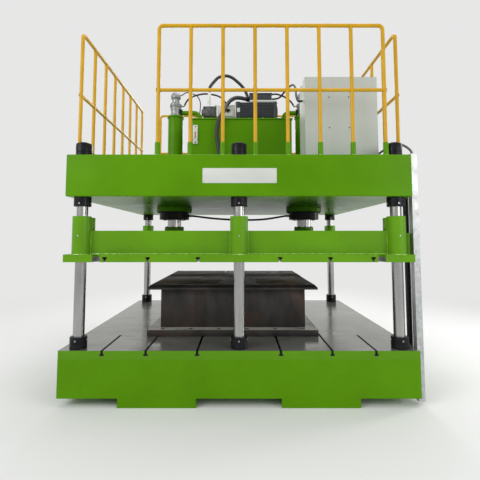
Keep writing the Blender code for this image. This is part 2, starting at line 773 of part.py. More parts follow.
def make_drive():
    pump_x1 = pump_x + pump_l / 2
    pump_x0 = pump_x - pump_l / 2
    bell_x0 = pump_x1 + seat_gap
    bell_x1 = bell_x0 + bell_l
    motor_x0 = bell_x1 + seat_gap
    motor_x1 = motor_x0 + motor_l
    shaft_hole_r = shaft_r + run_gap
    pump_profile = ((0.0, pump_x0), (pump_nose_r, pump_x0), (pump_r, pump_x0 + pump_flange_t),
                    (pump_r, pump_x1 - pump_flange_t), (pump_flange_r, pump_x1 - pump_flange_t),
                    (pump_flange_r, pump_x1), (0.0, pump_x1))
    pump = turned("oil_pump", pump_profile, (0.0, drive_y, drive_z), cast_grey, "X")
    block = pump_block_w / 2
    block_x1 = pump_x1 - pump_flange_t * 2
    join(pump, box_shape((block_x1 - pump_block_l, drive_y - block, drive_z - block),
                         (block_x1, drive_y + block, drive_z + block), pump_block_chamfer),
         rod_shape(pump_port_r, (pump_x, drive_y, drive_z), drive_z + pump_port_h))
    cut(pump, rod_shape(shaft_hole_r, (pump_x1 - shaft_seat_l, drive_y, drive_z), pump_x1 + cut_over, "X"))
    half = bell_w / 2
    bell = box("bell_housing", (bell_x0, drive_y - half, drive_z - half),
               (bell_x1, drive_y + half, drive_z + half), alloy_grey, bell_chamfer)
    foot = bell_foot_w / 2
    join(bell, box_shape((bell_x0 + bell_chamfer, drive_y - foot, lid_top + seat_gap),
                         (bell_x1 - bell_chamfer, drive_y + foot, drive_z - bell_bore_r - bell_chamfer)))
    middle_x = (bell_x0 + bell_x1) / 2
    cut(bell, rod_shape(bell_bore_r, (bell_x0 - cut_over, drive_y, drive_z), bell_x1 + cut_over, "X"),
        rod_shape(bell_window_r, (middle_x + bell_window_shift, drive_y - half - cut_over, drive_z),
                  drive_y, "Y"))
    motor = finish("servo_motor", prism_shape(finned_outline(), "X", motor_x0, motor_x1), motor_black)
    motor_foot_x0 = motor_x1 - motor_foot_l * 2
    join(motor, box_shape((motor_foot_x0, drive_y - motor_foot_w / 2, lid_top + seat_gap),
                          (motor_foot_x0 + motor_foot_l, drive_y + motor_foot_w / 2, drive_z)))
    cut(motor, rod_shape(shaft_hole_r, (motor_x0 - cut_over, drive_y, drive_z), motor_x0 + shaft_seat_l, "X"))
    shaft_axis = axis_empty("shaft_axis", (0.0, drive_y, drive_z), machine_axis)
    shaft_x0 = pump_x1 - shaft_seat_l + seat_gap
    shaft_x1 = motor_x0 + shaft_seat_l - seat_gap
    hub_x0 = middle_x - coupling_l / 2
    hub_x1 = middle_x + coupling_l / 2
    waist_x0 = middle_x - coupling_gap_l / 2
    waist_x1 = middle_x + coupling_gap_l / 2
    coupling = ((0.0, shaft_x0), (shaft_r, shaft_x0), (shaft_r, hub_x0), (coupling_r, hub_x0),
                (coupling_r, waist_x0), (coupling_waist_r, waist_x0), (coupling_waist_r, waist_x1),
                (coupling_r, waist_x1), (coupling_r, hub_x1), (shaft_r, hub_x1), (shaft_r, shaft_x1),
                (0.0, shaft_x1))
    turned("drive_coupling", coupling, (0.0, 0.0, 0.0), bare_steel, "X", shaft_axis)
    base_z = drive_z + motor_w / 2 + seat_gap
    terminal_z0 = base_z + terminal_base_t
    terminal_z1 = terminal_z0 + terminal_h
    low = (terminal_x - terminal_l / 2, drive_y - terminal_w / 2, terminal_z0)
    high = (terminal_x + terminal_l / 2, drive_y + terminal_w / 2, terminal_z1 - terminal_lid_t / 2)
    terminal = box("terminal_box", low, high, motor_black)
    base = box_shape((low[0], low[1] - terminal_base_lip, base_z),
                     (motor_x1 - terminal_base_lip, high[1] + terminal_base_lip,
                      terminal_z0 + terminal_base_t / 2))
    lid_low = (low[0] - terminal_lid_lip, low[1] - terminal_lid_lip, terminal_z1 - terminal_lid_t)
    lid_high = (high[0] + terminal_lid_lip, high[1] + terminal_lid_lip, terminal_z1)
    join(terminal, base, box_shape(lid_low, lid_high))


def make_cabinet():
    x0 = cabinet_x0
    x1 = cabinet_x0 + cabinet_w
    y0 = cabinet_front_y
    y1 = cabinet_front_y + cabinet_d
    z0 = deck + cabinet_foot_h
    z1 = z0 + cabinet_h
    shell = box("cabinet_shell", (x0, y0, z0), (x1, y1, z1), cabinet_grey)
    feet = [box_shape((x, y0 + cabinet_lip, deck), (x + cabinet_lip * 2, y1 - cabinet_lip, z0 + cabinet_wall))
            for x in (x0 + cabinet_lip, x1 - cabinet_lip * 3)]
    join(shell, merged_shape(feet))
    inside = box_shape((x0 + cabinet_wall, y0 + cabinet_wall, z0 + cabinet_wall),
                       (x1 - cabinet_wall, y1 - cabinet_wall, z1 - cabinet_wall))
    mouth = box_shape((x0 + cabinet_lip, y1 - cabinet_lip, z0 + cabinet_lip),
                      (x1 - cabinet_lip, y1 + cut_over, z1 - cabinet_lip))
    cut(shell, inside, mouth)
    # Lift-off hinges: the lower half of each barrel is the shell's, the upper half is the door's.
    hinge_y = y1 + door_gap + door_t + hinge_r
    hinge_x = x1 - hinge_r
    hinge_zs = (z0 + hinge_inset, z1 - hinge_inset - hinge_l)
    strap_x0 = x1 + strap_gap
    straps = []
    arms = []
    pins = []
    for z in hinge_zs:
        top = z + hinge_l / 2 - seat_gap
        straps.append(box_shape((strap_x0, y1 - strap_l, z), (strap_x0 + strap_t, hinge_y + strap_t, top)))
        arms.append(box_shape((x1 - cabinet_wall / 2, y1 - strap_l, z + strap_t),
                              (strap_x0 + strap_t / 2, y1 - strap_t, top - strap_t)))
        arms.append(box_shape((hinge_x, hinge_y - strap_t, z + strap_t),
                              (strap_x0 + strap_t / 2, hinge_y + strap_t / 2, top - strap_t)))
        pins.append(rod_shape(hinge_r - hinge_play, (hinge_x, hinge_y, z), top, sides=tube_sides * 2))
    join(shell, merged_shape(straps), merged_shape(arms), merged_shape(pins))
    hinge = axis_empty("door_axis", (hinge_x, hinge_y, 0.0), machine_axis)
    back = y1 + door_gap
    door = box("cabinet_door", (x0 - hinge_x, back - hinge_y, z0), (x1 - hinge_x, back + door_t - hinge_y, z1),
               cabinet_grey, parent=hinge)
    rim = door_skin * 2
    pan = box_shape((x0 + rim - hinge_x, back - cut_over - hinge_y, z0 + rim),
                    (x1 - rim - hinge_x, back + door_t - door_skin - hinge_y, z1 - rim))
    cut(door, pan)
    knuckles = []
    for z in hinge_zs:
        knuckles.append(rod_shape(hinge_r, (0.0, -door_skin / 2, z + hinge_l / 2), z + hinge_l,
                                  sides=tube_sides * 2))
    join(door, merged_shape(knuckles))
    latch_x = x0 + latch_in_from_edge
    latch_z = (z0 + z1) / 2
    face_y = back + door_t
    cut(door, rod_shape(latch_stem_r + run_gap, (latch_x - hinge_x, back - cut_over - hinge_y, latch_z),
                        face_y + cut_over - hinge_y, "Y"))
    latch_axis = axis_empty("latch_axis", (latch_x - hinge_x, face_y - hinge_y, latch_z), hinge)
    stem = ((0.0, -door_skin * 2), (latch_stem_r, -door_skin * 2), (latch_stem_r, seat_gap),
            (latch_r, seat_gap), (latch_r, latch_plate_t), (0.0, latch_plate_t))
    latch = turned("door_latch", stem, (0.0, 0.0, 0.0), black_oxide, "Y", latch_axis)
    join(latch, box_shape((-latch_lever_w / 2, latch_plate_t / 2, -latch_lever_l),
                          (latch_lever_w / 2, latch_plate_t / 2 + latch_lever_t, latch_r)))
    make_control_gear((x0, x1), y0, (z0, z1))


def make_control_gear(across, y0, up):
    # The mounting plate inside the cabinet, with its rows of devices.
    x0 = across[0] + panel_margin
    x1 = across[1] - panel_margin
    z0 = up[0] + panel_margin
    z1 = up[1] - panel_margin
    back = y0 + cabinet_wall + seat_gap
    plate_y = back + panel_standoff
    plate = box("control_gear", (x0, plate_y, z0), (x1, plate_y + panel_t, z1), gear_white)
    studs = [box_shape((x, back, z), (x + panel_stud_w, plate_y + panel_t / 2, z + panel_stud_w))
             for x in (x0 + panel_stud_w, x1 - panel_stud_w * 2)
             for z in (z0 + panel_stud_w, z1 - panel_stud_w * 2)]
    join(plate, merged_shape(studs))
    devices = []
    for share, tall, count, deep in zip(gear_rows_shares, gear_heights_shares, gear_units, gear_depths):
        pitch = (x1 - x0) / count
        width = pitch * gear_fill_share
        for i in range(count):
            middle = x0 + pitch * (i + 1 / 2)
            low_z = z0 + (z1 - z0) * share
            devices.append(box_shape((middle - width / 2, plate_y + panel_t / 2, low_z),
                                     (middle + width / 2, plate_y + deep, low_z + (z1 - z0) * tall)))
    join(plate, merged_shape(devices))


def make_railing(name, start, way, pitch, posts):
    # A bent top tube that turns down into the end posts, plain posts between, a middle rail and sockets.
    way = Vector(way)
    start = Vector((*start, deck))
    up = Vector((0.0, 0.0, 1.0))
    end = start + way * pitch * (posts - 1)
    top_start = start + up * rail_h
    top_end = end + up * rail_h
    hoop = [start, *corner_bend(top_start, up, way, rail_bend_r),
            *corner_bend(top_end, way, -up, rail_bend_r), end]
    railing = finish(name, tube_shape(hoop, rail_post_r, 1), yellow_paint)
    stands = [start + way * pitch * i for i in range(posts)]
    middles = [rod_shape(rail_post_r, stand, rail_top, sides=tube_sides) for stand in stands[1:-1]]
    sockets = [rod_shape(socket_r, stand, deck + socket_h, sides=tube_sides) for stand in stands]
    letter = "X" if abs(way.x) > abs(way.y) else "Y"
    index = "XY".index(letter)
    rail_start = (start.x, start.y, rail_mid)
    bar = rod_shape(rail_mid_r, rail_start, end[index], letter, tube_sides)
    join(railing, merged_shape(middles), bar, merged_shape(sockets))


def make_railings():
    half_d = crown_d / 2
    side_x = crown_w / 2 - side_rail_inset
    make_railing("front_railing", (front_rail_x0, -half_d + front_rail_inset), (1.0, 0.0, 0.0),
                 front_rail_pitch, front_rail_posts)
    side_y0 = -half_d + side_rail_from_front
    side_pitch = (half_d - side_rail_from_back - side_y0) / (side_rail_posts - 1)
    for place, x in (("left", -side_x), ("right", side_x)):
        make_railing(f"{place}_railing", (x, side_y0), (0.0, 1.0, 0.0), side_pitch, side_rail_posts)
    back_pitch = 2 * back_rail_half_w / (back_rail_posts - 1)
    make_railing("back_railing", (-back_rail_half_w, half_d - back_rail_inset), (1.0, 0.0, 0.0),
                 back_pitch, back_rail_posts)


def make_side_rails():
    crown_side = crown_w / 2
    y0 = -bed_d / 2 + tray_front_inset
    y1 = y0 + tray_d
    z0 = tray_foot_gap
    z1 = crown_top + tray_over_crown
    tray = box("cable_tray", (tray_x0, y0, z0), (tray_x1, y1, z1), zinc_plate)
    clip_z0 = crown_under + crown_h / 2 - tray_clip_h / 2
    join(tray, box_shape((crown_side + seat_gap, y0 + tray_wall, clip_z0),
                         (tray_x0 + tray_wall / 2, y0 + tray_d / 2, clip_z0 + tray_clip_h)))
    cut(tray, box_shape((tray_x0 + tray_wall, y0 + tray_wall, z0 - cut_over),
                        (tray_x1 - tray_wall, y1 + cut_over, z1 + cut_over)))
    x0 = tray_x0 + switch_stand_off
    x1 = x0 + switch_w
    front = -bed_d / 2 + switch_front_inset
    rail = box("switch_rail", (x0, front, table_top - switch_down_bed),
               (x1, front + switch_d, crown_under + switch_up_crown), black_oxide)
    groove_x = (x0 + x1) / 2
    low_z = table_top - switch_down_bed
    high_z = crown_under + switch_up_crown - switch_block_h
    low_block = box_shape((bed_side + seat_gap, front, low_z), (x0 + switch_stand_off, front + switch_d,
                                                                low_z + switch_block_h))
    high_block = box_shape((crown_side + seat_gap, front, high_z), (x0 + switch_stand_off, front + switch_d,
                                                                    high_z + switch_block_h))
    join(rail, merged_shape([low_block, high_block]))
    cut(rail, box_shape((groove_x - switch_channel_w / 2, front - cut_over, table_top),
                        (groove_x + switch_channel_w / 2, front + switch_channel_d, crown_under)))
    tray_x = (tray_x0 + tray_x1) / 2
    tray_y = y0 + tray_d / 2
    cabinet_side = cabinet_x0 + cabinet_w
    cabinet_y = cabinet_front_y + cabinet_d / 2
    nut_y = column_rows[0]
    route = ((tray_x, tray_y, crown_top), (tray_x, tray_y, deck + 0.035),
             (1.605, nut_y + 0.0065, deck + 0.076), (1.553, nut_y + 0.0395, deck + 0.123),
             (1.492, nut_y + 0.0915, deck + 0.127), (1.437, nut_y + 0.1795, deck + 0.103),
             (1.422, nut_y + 0.2495, deck + 0.089), (cabinet_side + 0.025, cabinet_y, deck + 0.086),
             (cabinet_side + seat_gap, cabinet_y, deck + 0.086))
    finish("cable_conduit", tube_shape(smooth_route(route), conduit_r), hose_black)


def make_block():
    half_w = block_w / 2
    half_d = block_d / 2
    z0 = table_top + seat_gap
    z1 = z0 + block_low_t
    low = box("block_lower_plate", (block_x - half_w, block_y - half_d, z0),
              (block_x + half_w, block_y + half_d, z1), scaled_steel)
    pitch = block_w / block_bolt_count
    holes = [rod_shape(block_bolt_r, (block_x - half_w + pitch * (i + 1 / 2), block_y + side * edge_y,
                                      z0 - cut_over), z1 + cut_over, sides=tube_sides)
             for i in range(block_bolt_count)
             for side, edge_y in ((-1, half_d - block_step_y / 2), (1, half_d - block_step_y / 2))]
    cut(low, merged_shape(holes))
    z2 = z1 + seat_gap
    z3 = z2 + block_mid_h
    inner_w = half_w - block_step_x
    inner_d = half_d - block_step_y
    box("block_body", (block_x - inner_w, block_y - inner_d, z2), (block_x + inner_w, block_y + inner_d, z3),
        scaled_steel)
    z4 = z3 + seat_gap
    box("block_upper_plate", (block_x - half_w, block_y - half_d, z4),
        (block_x + half_w, block_y + half_d, z4 + block_high_t), scaled_steel)


def make_hose(name, points, radius):
    finish(name, tube_shape(smooth_route(points), radius), hose_black)


def make_hoses():
    port_z = drive_z + pump_port_h + seat_gap
    lid_z = lid_top + seat_gap
    behind = drive_y + motor_w / 2 + arc_hose_r * 2
    make_hose("arc_hose", ((pump_x, drive_y, port_z), (pump_x, drive_y, port_z + 0.04),
                           (-0.346, -0.242, 3.362), (-0.304, -0.235, 3.419), (-0.250, -0.225, 3.475),
                           (-0.162, -0.200, 3.506), (-0.095, -0.180, 3.496), (-0.040, -0.160, 3.464),
                           (0.039, -0.130, 3.401), (0.090, behind, 3.325), (0.118, behind, 3.220),
                           (0.122, behind, 3.080), (0.122, behind, lid_z + 0.05),
                           (0.122, behind, lid_z)), arc_hose_r)
    front_y = tank_y - tank_d / 2 - lid_lip - front_hose_r * 2
    box_x = terminal_x - terminal_l / 2 - seat_gap
    make_hose("front_hose", ((box_x, -0.270, 3.180), (box_x - 0.04, -0.270, 3.180),
                             (0.020, -0.280, 3.190), (-0.042, -0.300, 3.182), (-0.100, -0.330, 3.140),
                             (-0.149, -0.385, 3.056), (-0.178, front_y + 0.035, 2.955),
                             (-0.226, front_y, 2.850), (-0.251, front_y, 2.745), (-0.256, front_y, 2.651),
                             (-0.240, front_y, 2.547), (-0.225, front_y, 2.444), (-0.215, front_y, 2.350),
                             (-0.212, front_y, deck + 0.05), (-0.212, front_y, deck)), front_hose_r)
    valve_z = neck_top + seat_gap + valve_body_h + valve_ring_h / 2
    valve_x = cylinder_xs[0] + valve_ring_r + seat_gap
    make_hose("valve_hose", ((valve_x, 0.0, valve_z), (valve_x + 0.03, 0.0, valve_z),
                             (-0.670, -0.020, 3.260), (-0.594, -0.040, 3.306), (-0.455, -0.050, 3.336),
                             (-0.328, -0.050, 3.325), (-0.235, -0.060, 3.285), (-0.165, -0.060, 3.200),
                             (-0.135, -0.060, 3.060), (-0.130, -0.060, lid_z + 0.04),
                             (-0.130, -0.060, lid_z)), valve_hose_r)
    gland_z = gland_top - gland_h / 2
    gland_x = cylinder_xs[1] - gland_r - seat_gap
    make_hose("gland_hose", ((-gland_x, 0.0, gland_z), (-gland_x + 0.05, 0.0, gland_z),
                             (-0.300, -0.040, gland_z - 0.035), (0.0, -0.060, gland_z - 0.052),
                             (0.300, -0.040, gland_z - 0.045), (gland_x - 0.05, 0.0, gland_z),
                             (gland_x, 0.0, gland_z)), gland_hose_r)
    terminal_z = drive_z + motor_w / 2 + terminal_base_t + terminal_h / 2
    cable_x = terminal_x + terminal_l / 2 + seat_gap
    cabinet_y = cabinet_front_y + cabinet_d / 2
    make_hose("motor_cable", ((cable_x, drive_y, terminal_z), (cable_x + 0.04, drive_y, terminal_z),
                              (0.500, -0.280, 3.200), (0.560, -0.400, 3.240), (0.610, -0.560, 3.230),
                              (0.620, -0.720, 3.120), (0.605, -0.840, 2.990), (0.615, cabinet_y, 2.900),
                              (cabinet_x0 - seat_gap, cabinet_y, 2.900)), motor_cable_r)


def make_press():
    slide_axis = axis_empty("slide_axis", (0.0, 0.0, 0.0), machine_axis)
    make_bed()
    make_table()
    make_columns()
    make_top_nuts()
    make_crown()
    make_cylinders(slide_axis)
    make_slide(slide_axis)
    make_valves()
    make_suction_pipes()
    make_tank()
    make_drive()
    make_cabinet()
    make_railings()
    make_side_rails()
    make_block()
    make_hoses()


make_press()
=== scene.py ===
# A green hydraulic press on a pale studio floor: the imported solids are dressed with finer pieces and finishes.
import math

import bmesh
import bpy
from mathutils import Matrix, Vector


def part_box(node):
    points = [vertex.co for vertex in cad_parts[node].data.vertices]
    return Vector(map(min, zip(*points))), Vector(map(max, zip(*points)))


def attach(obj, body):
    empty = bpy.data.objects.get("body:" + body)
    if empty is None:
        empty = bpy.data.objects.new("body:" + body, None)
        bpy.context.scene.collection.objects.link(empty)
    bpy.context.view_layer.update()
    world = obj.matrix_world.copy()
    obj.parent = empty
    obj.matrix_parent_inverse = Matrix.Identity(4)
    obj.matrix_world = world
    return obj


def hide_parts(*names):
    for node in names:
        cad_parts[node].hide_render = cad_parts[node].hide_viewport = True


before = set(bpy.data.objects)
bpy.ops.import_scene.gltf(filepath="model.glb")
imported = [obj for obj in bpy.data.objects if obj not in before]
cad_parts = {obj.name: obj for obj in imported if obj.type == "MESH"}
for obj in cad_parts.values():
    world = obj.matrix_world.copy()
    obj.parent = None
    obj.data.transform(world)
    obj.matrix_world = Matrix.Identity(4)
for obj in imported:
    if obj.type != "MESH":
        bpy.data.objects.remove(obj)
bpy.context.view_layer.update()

print("frame loaded:", len(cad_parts), "solids")

frameBody = "press_frame"
seatGap = 0.0003  # seated solids lie this far apart
slidePlate = 0.069  # thickness of the slide's flange plate
slideBox = 0.217  # height of the welded box on it


def middleOf(node):
    low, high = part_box(node)
    return (low + high) / 2


rowSides = [(row, side) for row in ("front", "back") for side in ("left", "middle", "right")]
columnAt = {(row, side): middleOf(f"column_{row}_{side}") for row, side in rowSides}
axisX = columnAt[("front", "middle")].x
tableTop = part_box("table_plate")[1].z
crownFront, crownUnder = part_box("crown_frame")[0].yz
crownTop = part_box("crown_frame")[1].z
deck = crownTop + seatGap
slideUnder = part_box("slide_frame")[0].z
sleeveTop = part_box("slide_frame")[1].z
plateTop = slideUnder + slidePlate
boxTop = plateTop + slideBox

# Finishes: helpers for the nodes, then one dictionary of looks.


def shaderNodes(name):
    made = bpy.data.materials.new(name)
    made.use_nodes = True
    nodes = made.node_tree.nodes
    links = made.node_tree.links
    place = nodes.new("ShaderNodeTexCoord")
    return made, nodes, links, place.outputs["Object"], nodes["Principled BSDF"]


def stretched(nodes, links, source, scale):
    mapping = nodes.new("ShaderNodeMapping")
    mapping.inputs["Scale"].default_value = scale
    links.new(source, mapping.inputs["Vector"])
    return mapping.outputs["Vector"]


def noise(nodes, links, source, scale, detail=4.0, rough=0.55):
    made = nodes.new("ShaderNodeTexNoise")
    made.inputs["Scale"].default_value = scale
    made.inputs["Detail"].default_value = detail
    made.inputs["Roughness"].default_value = rough
    links.new(source, made.inputs["Vector"])
    return made.outputs["Fac"]


def ranged(nodes, links, source, low, high, start=0.3, end=0.7):
    made = nodes.new("ShaderNodeMapRange")
    made.inputs["From Min"].default_value = start
    made.inputs["From Max"].default_value = end
    made.inputs["To Min"].default_value = low
    made.inputs["To Max"].default_value = high
    links.new(source, made.inputs["Value"])
    return made.outputs["Result"]


def mixed(nodes, links, factor, first, second):
    made = nodes.new("ShaderNodeMix")
    made.data_type = "RGBA"
    links.new(factor, made.inputs["Factor"])
    for value, socket in ((first, made.inputs[6]), (second, made.inputs[7])):
        if isinstance(value, tuple):
            socket.default_value = (*value, 1.0)
        else:
            links.new(value, socket)
    return made.outputs[2]


def maths(nodes, links, kind, first, second=None):
    made = nodes.new("ShaderNodeMath")
    made.operation = kind
    for value, socket in ((first, made.inputs[0]), (second, made.inputs[1])):
        if value is None:
            continue
        if isinstance(value, (int, float)):
            socket.default_value = value
        else:
            links.new(value, socket)
    return made.outputs[0]


def bumped(nodes, links, height, strength, distance, roundEdge=0.0):
    bump = nodes.new("ShaderNodeBump")
    bump.inputs["Strength"].default_value = strength
    bump.inputs["Distance"].default_value = distance
    links.new(height, bump.inputs["Height"])
    if roundEdge > 0.0:
        soft = nodes.new("ShaderNodeBevel")
        soft.samples = 4
        soft.inputs["Radius"].default_value = roundEdge
        links.new(soft.outputs["Normal"], bump.inputs["Normal"])
    return bump.outputs["Normal"]


def seenByCamera(nodes, links):
    # 1 for rays that show the background: straight, mirrored or through glass.
    rays = nodes.new("ShaderNodeLightPath").outputs
    return maths(nodes, links, "MAXIMUM", rays["Is Camera Ray"],
                 maths(nodes, links, "MAXIMUM", rays["Is Glossy Ray"], rays["Is Transmission Ray"]))


def finish(name, look):
    # One finish: a mottled colour, a roughness that wanders and a fine bump.
    made, nodes, links, place, shader = shaderNodes(name)
    base = look["colour"]
    drift = noise(nodes, links, stretched(nodes, links, place, look.get("driftScale", (1, 1, 1))),
                  look.get("drift", 2.5), 5.0)
    darker = tuple(c * look.get("dark", 0.85) for c in base)
    lighter = tuple(min(1.0, c * look.get("light", 1.12)) for c in base)
    colour = mixed(nodes, links, ranged(nodes, links, drift, 0.0, 1.0), darker, lighter)
    if "patch" in look:
        spots = noise(nodes, links, place, look["patchScale"], 7.0, 0.65)
        colour = mixed(nodes, links, ranged(nodes, links, spots, 0.0, look.get("patchMost", 0.7),
                                            look.get("patchFrom", 0.52), look.get("patchTo", 0.7)),
                       colour, look["patch"])
    links.new(colour, shader.inputs["Base Color"])
    wander = noise(nodes, links, stretched(nodes, links, place, look.get("roughStretch", (1, 1, 1))),
                   look.get("roughScale", 18.0), 4.0)
    links.new(ranged(nodes, links, wander, *look["rough"]), shader.inputs["Roughness"])
    grain = noise(nodes, links, stretched(nodes, links, place, look.get("grainStretch", (1, 1, 1))),
                  look.get("grain", 160.0), 3.0)
    links.new(bumped(nodes, links, grain, look.get("bump", 0.1), look.get("depth", 0.0006),
                     look.get("roundEdge", 0.0)), shader.inputs["Normal"])
    shader.inputs["Metallic"].default_value = look.get("metal", 0.0)
    shader.inputs["Coat Weight"].default_value = look.get("coat", 0.0)
    shader.inputs["Coat Roughness"].default_value = look.get("coatRough", 0.08)
    shader.inputs["Specular IOR Level"].default_value = look.get("specular", 0.5)
    return made


looks = {
    "greenEnamel": {"colour": (0.086, 0.246, 0.0006), "dark": 0.88, "light": 1.10, "drift": 1.7,
                    "rough": (0.26, 0.31), "roughScale": 3.0, "grain": 90.0, "bump": 0.02,
                    "depth": 0.0002, "roundEdge": 0.004, "specular": 0.09},
    "yellowEnamel": {"colour": (0.56, 0.315, 0.010), "dark": 0.9, "light": 1.08, "drift": 5.0,
                     "rough": (0.26, 0.40), "grain": 140.0, "bump": 0.08, "coat": 0.03, "specular": 0.2},
    "chromedSteel": {"colour": (0.37, 0.375, 0.36), "dark": 0.80, "light": 1.15, "drift": 6.0,
                     "driftScale": (1, 1, 0.25), "rough": (0.20, 0.26), "roughScale": 8.0,
                     "roughStretch": (1, 1, 14), "grain": 26.0, "grainStretch": (1, 1, 30),
                     "bump": 0.01, "depth": 0.0002, "metal": 1.0},
    "blackOxide": {"colour": (0.0085, 0.0088, 0.0105), "dark": 0.7, "light": 1.5, "drift": 14.0,
                   "rough": (0.26, 0.42), "grain": 240.0, "bump": 0.10, "metal": 0.2,
                   "coat": 0.02, "coatRough": 0.2, "specular": 0.14},
    "machinedBronze": {"colour": (0.46, 0.29, 0.11), "rough": (0.22, 0.38), "metal": 1.0,
                       "grain": 120.0, "bump": 0.08},
    "greyCasting": {"colour": (0.088, 0.092, 0.088), "dark": 0.7, "light": 1.35, "drift": 16.0,
                    "rough": (0.42, 0.62), "grain": 210.0, "bump": 0.45, "depth": 0.0018, "metal": 0.35},
    "valveGrey": {"colour": (0.30, 0.315, 0.31), "dark": 0.8, "light": 1.15, "drift": 12.0,
                  "rough": (0.35, 0.5), "grain": 150.0, "bump": 0.2, "metal": 0.6},
    "castAlloy": {"colour": (0.60, 0.61, 0.58), "dark": 0.90, "light": 1.08, "drift": 10.0,
                  "rough": (0.34, 0.5), "grain": 190.0, "bump": 0.2, "depth": 0.0008, "metal": 0.25,
                  "roundEdge": 0.004},
    "motorBlack": {"colour": (0.019, 0.025, 0.032), "dark": 0.8, "light": 1.25, "drift": 12.0,
                   "rough": (0.30, 0.44), "grain": 200.0, "bump": 0.15, "metal": 0.1, "coat": 0.2},
    "cabinetGrey": {"colour": (0.465, 0.498, 0.458), "dark": 0.95, "light": 1.03, "drift": 1.5,
                    "rough": (0.42, 0.55), "grain": 420.0, "bump": 0.22, "depth": 0.0005,
                    "roundEdge": 0.003},
    "zincSheet": {"colour": (0.50, 0.52, 0.52), "dark": 0.78, "light": 1.12, "drift": 30.0,
                  "rough": (0.30, 0.48), "grain": 90.0, "bump": 0.06, "metal": 0.9,
                  "patch": (0.42, 0.36, 0.33), "patchScale": 5.0, "roundEdge": 0.0015},
    "scaledSteel": {"colour": (0.026, 0.024, 0.022), "dark": 0.6, "light": 1.7, "drift": 7.0,
                    "driftScale": (1, 1, 0.35), "rough": (0.38, 0.62), "roughScale": 12.0,
                    "grain": 130.0, "bump": 0.35, "depth": 0.0015, "metal": 0.55,
                    "patch": (0.085, 0.036, 0.020), "patchScale": 2.6, "patchFrom": 0.52,
                    "patchTo": 0.70, "patchMost": 0.46},
    # Pads on the block's top: an oiled brown tone, lightened as a painted sheen.
    "padSteelPaintedSheen": {"colour": (0.095, 0.072, 0.036), "dark": 0.5, "light": 2.1, "drift": 2.6,
                   "driftScale": (0.6, 1.6, 1), "rough": (0.42, 0.58), "roughScale": 5.0, "grain": 60.0,
                   "grainStretch": (1, 12, 1), "bump": 0.05, "metal": 0.2, "specular": 0.08},
    "milledSteel": {"colour": (0.48, 0.48, 0.43), "dark": 0.7, "light": 1.3, "drift": 6.0,
                    "driftScale": (0.4, 1, 1), "rough": (0.34, 0.52), "grain": 30.0,
                    "grainStretch": (1, 14, 1), "bump": 0.12, "metal": 0.3, "specular": 0.3,
                    "patch": (0.07, 0.05, 0.035), "patchScale": 4.0},
    "hoseRubber": {"colour": (0.014, 0.014, 0.015), "dark": 0.8, "light": 1.5, "drift": 22.0,
                   "rough": (0.42, 0.58), "grain": 320.0, "bump": 0.35, "depth": 0.0008},
    "cableSleeve": {"colour": (0.10, 0.10, 0.10), "dark": 0.7, "light": 1.3, "drift": 22.0,
                    "rough": (0.4, 0.6), "grain": 300.0, "bump": 0.3},
    "zincFitting": {"colour": (0.52, 0.53, 0.52), "rough": (0.22, 0.36), "metal": 1.0,
                    "grain": 120.0, "bump": 0.08, "drift": 20.0},
    "gaugeFrame": {"colour": (0.66, 0.67, 0.64), "rough": (0.3, 0.42), "grain": 200.0, "bump": 0.1},
    "gaugeRed": {"colour": (0.46, 0.075, 0.014), "rough": (0.2, 0.3), "grain": 200.0, "bump": 0.05,
                 "coat": 0.6},
    "barePlate": {"colour": (0.56, 0.58, 0.54), "dark": 0.94, "light": 1.04, "drift": 3.0,
                  "rough": (0.3, 0.42), "grain": 160.0, "bump": 0.06, "coat": 0.2},
    "switchgear": {"colour": (0.50, 0.51, 0.49), "dark": 0.92, "light": 1.06, "drift": 12.0,
                   "rough": (0.4, 0.55), "grain": 260.0, "bump": 0.1},
    # Dark plastic for plugs, toggles and fins, also the painted shade in the block's holes, the duct slots and
    # the bell's window.
    "darkPlasticAndPaintedShade": {"colour": (0.025, 0.026, 0.028), "rough": (0.35, 0.5), "grain": 260.0, "bump": 0.1},
    # Weld beads, coloured lighter than the enamel as a painted highlight where they catch the light.
    "weldBeadPaintedHighlight": {"colour": (0.21, 0.41, 0.05), "dark": 0.5, "light": 1.8, "drift": 24.0,
                 "rough": (0.16, 0.28), "grain": 70.0, "bump": 0.8, "depth": 0.003, "coat": 0.5},
}
finishes = {name: finish(name, look) for name, look in looks.items()}


def tableFinish(name, ground, paint, bareTest):
    # Ground steel where the test says so, enamel everywhere else.
    made, nodes, links, place, shader = shaderNodes(name)
    split = nodes.new("ShaderNodeSeparateXYZ")
    links.new(place, split.inputs[0])
    normal = nodes.new("ShaderNodeNewGeometry").outputs["Normal"]
    facing = nodes.new("ShaderNodeSeparateXYZ")
    links.new(normal, facing.inputs[0])
    bare = bareTest(nodes, links, split.outputs, facing.outputs)
    cloudy = noise(nodes, links, place, 1.6, 6.0, 0.6)
    strokes = noise(nodes, links, stretched(nodes, links, place, (0.7, 9.0, 1.0)), 9.0, 5.0)
    steel = mixed(nodes, links, ranged(nodes, links, cloudy, 0.0, 1.0), ground["dark"], ground["light"])
    steel = mixed(nodes, links, ranged(nodes, links, strokes, 0.0, 0.5), steel, ground["stroke"])
    tint = mixed(nodes, links, ranged(nodes, links, noise(nodes, links, place, 1.7, 4.0), 0.0, 1.0),
                 tuple(c * 0.88 for c in paint), tuple(c * 1.1 for c in paint))
    links.new(mixed(nodes, links, bare, tint, steel), shader.inputs["Base Color"])
    links.new(maths(nodes, links, "MULTIPLY", bare, ground["metal"]), shader.inputs["Metallic"])
    shader.inputs["Specular IOR Level"].default_value = ground["specular"]
    smears = ranged(nodes, links, noise(nodes, links, stretched(nodes, links, place, (1, 3, 1)), 4.0, 6.0),
                    *ground["rough"])
    links.new(smears, shader.inputs["Roughness"])
    fine = noise(nodes, links, stretched(nodes, links, place, (1, 40, 1)), 30.0, 3.0)
    links.new(bumped(nodes, links, fine, 0.04, 0.0004, 0.002), shader.inputs["Normal"])
    return made


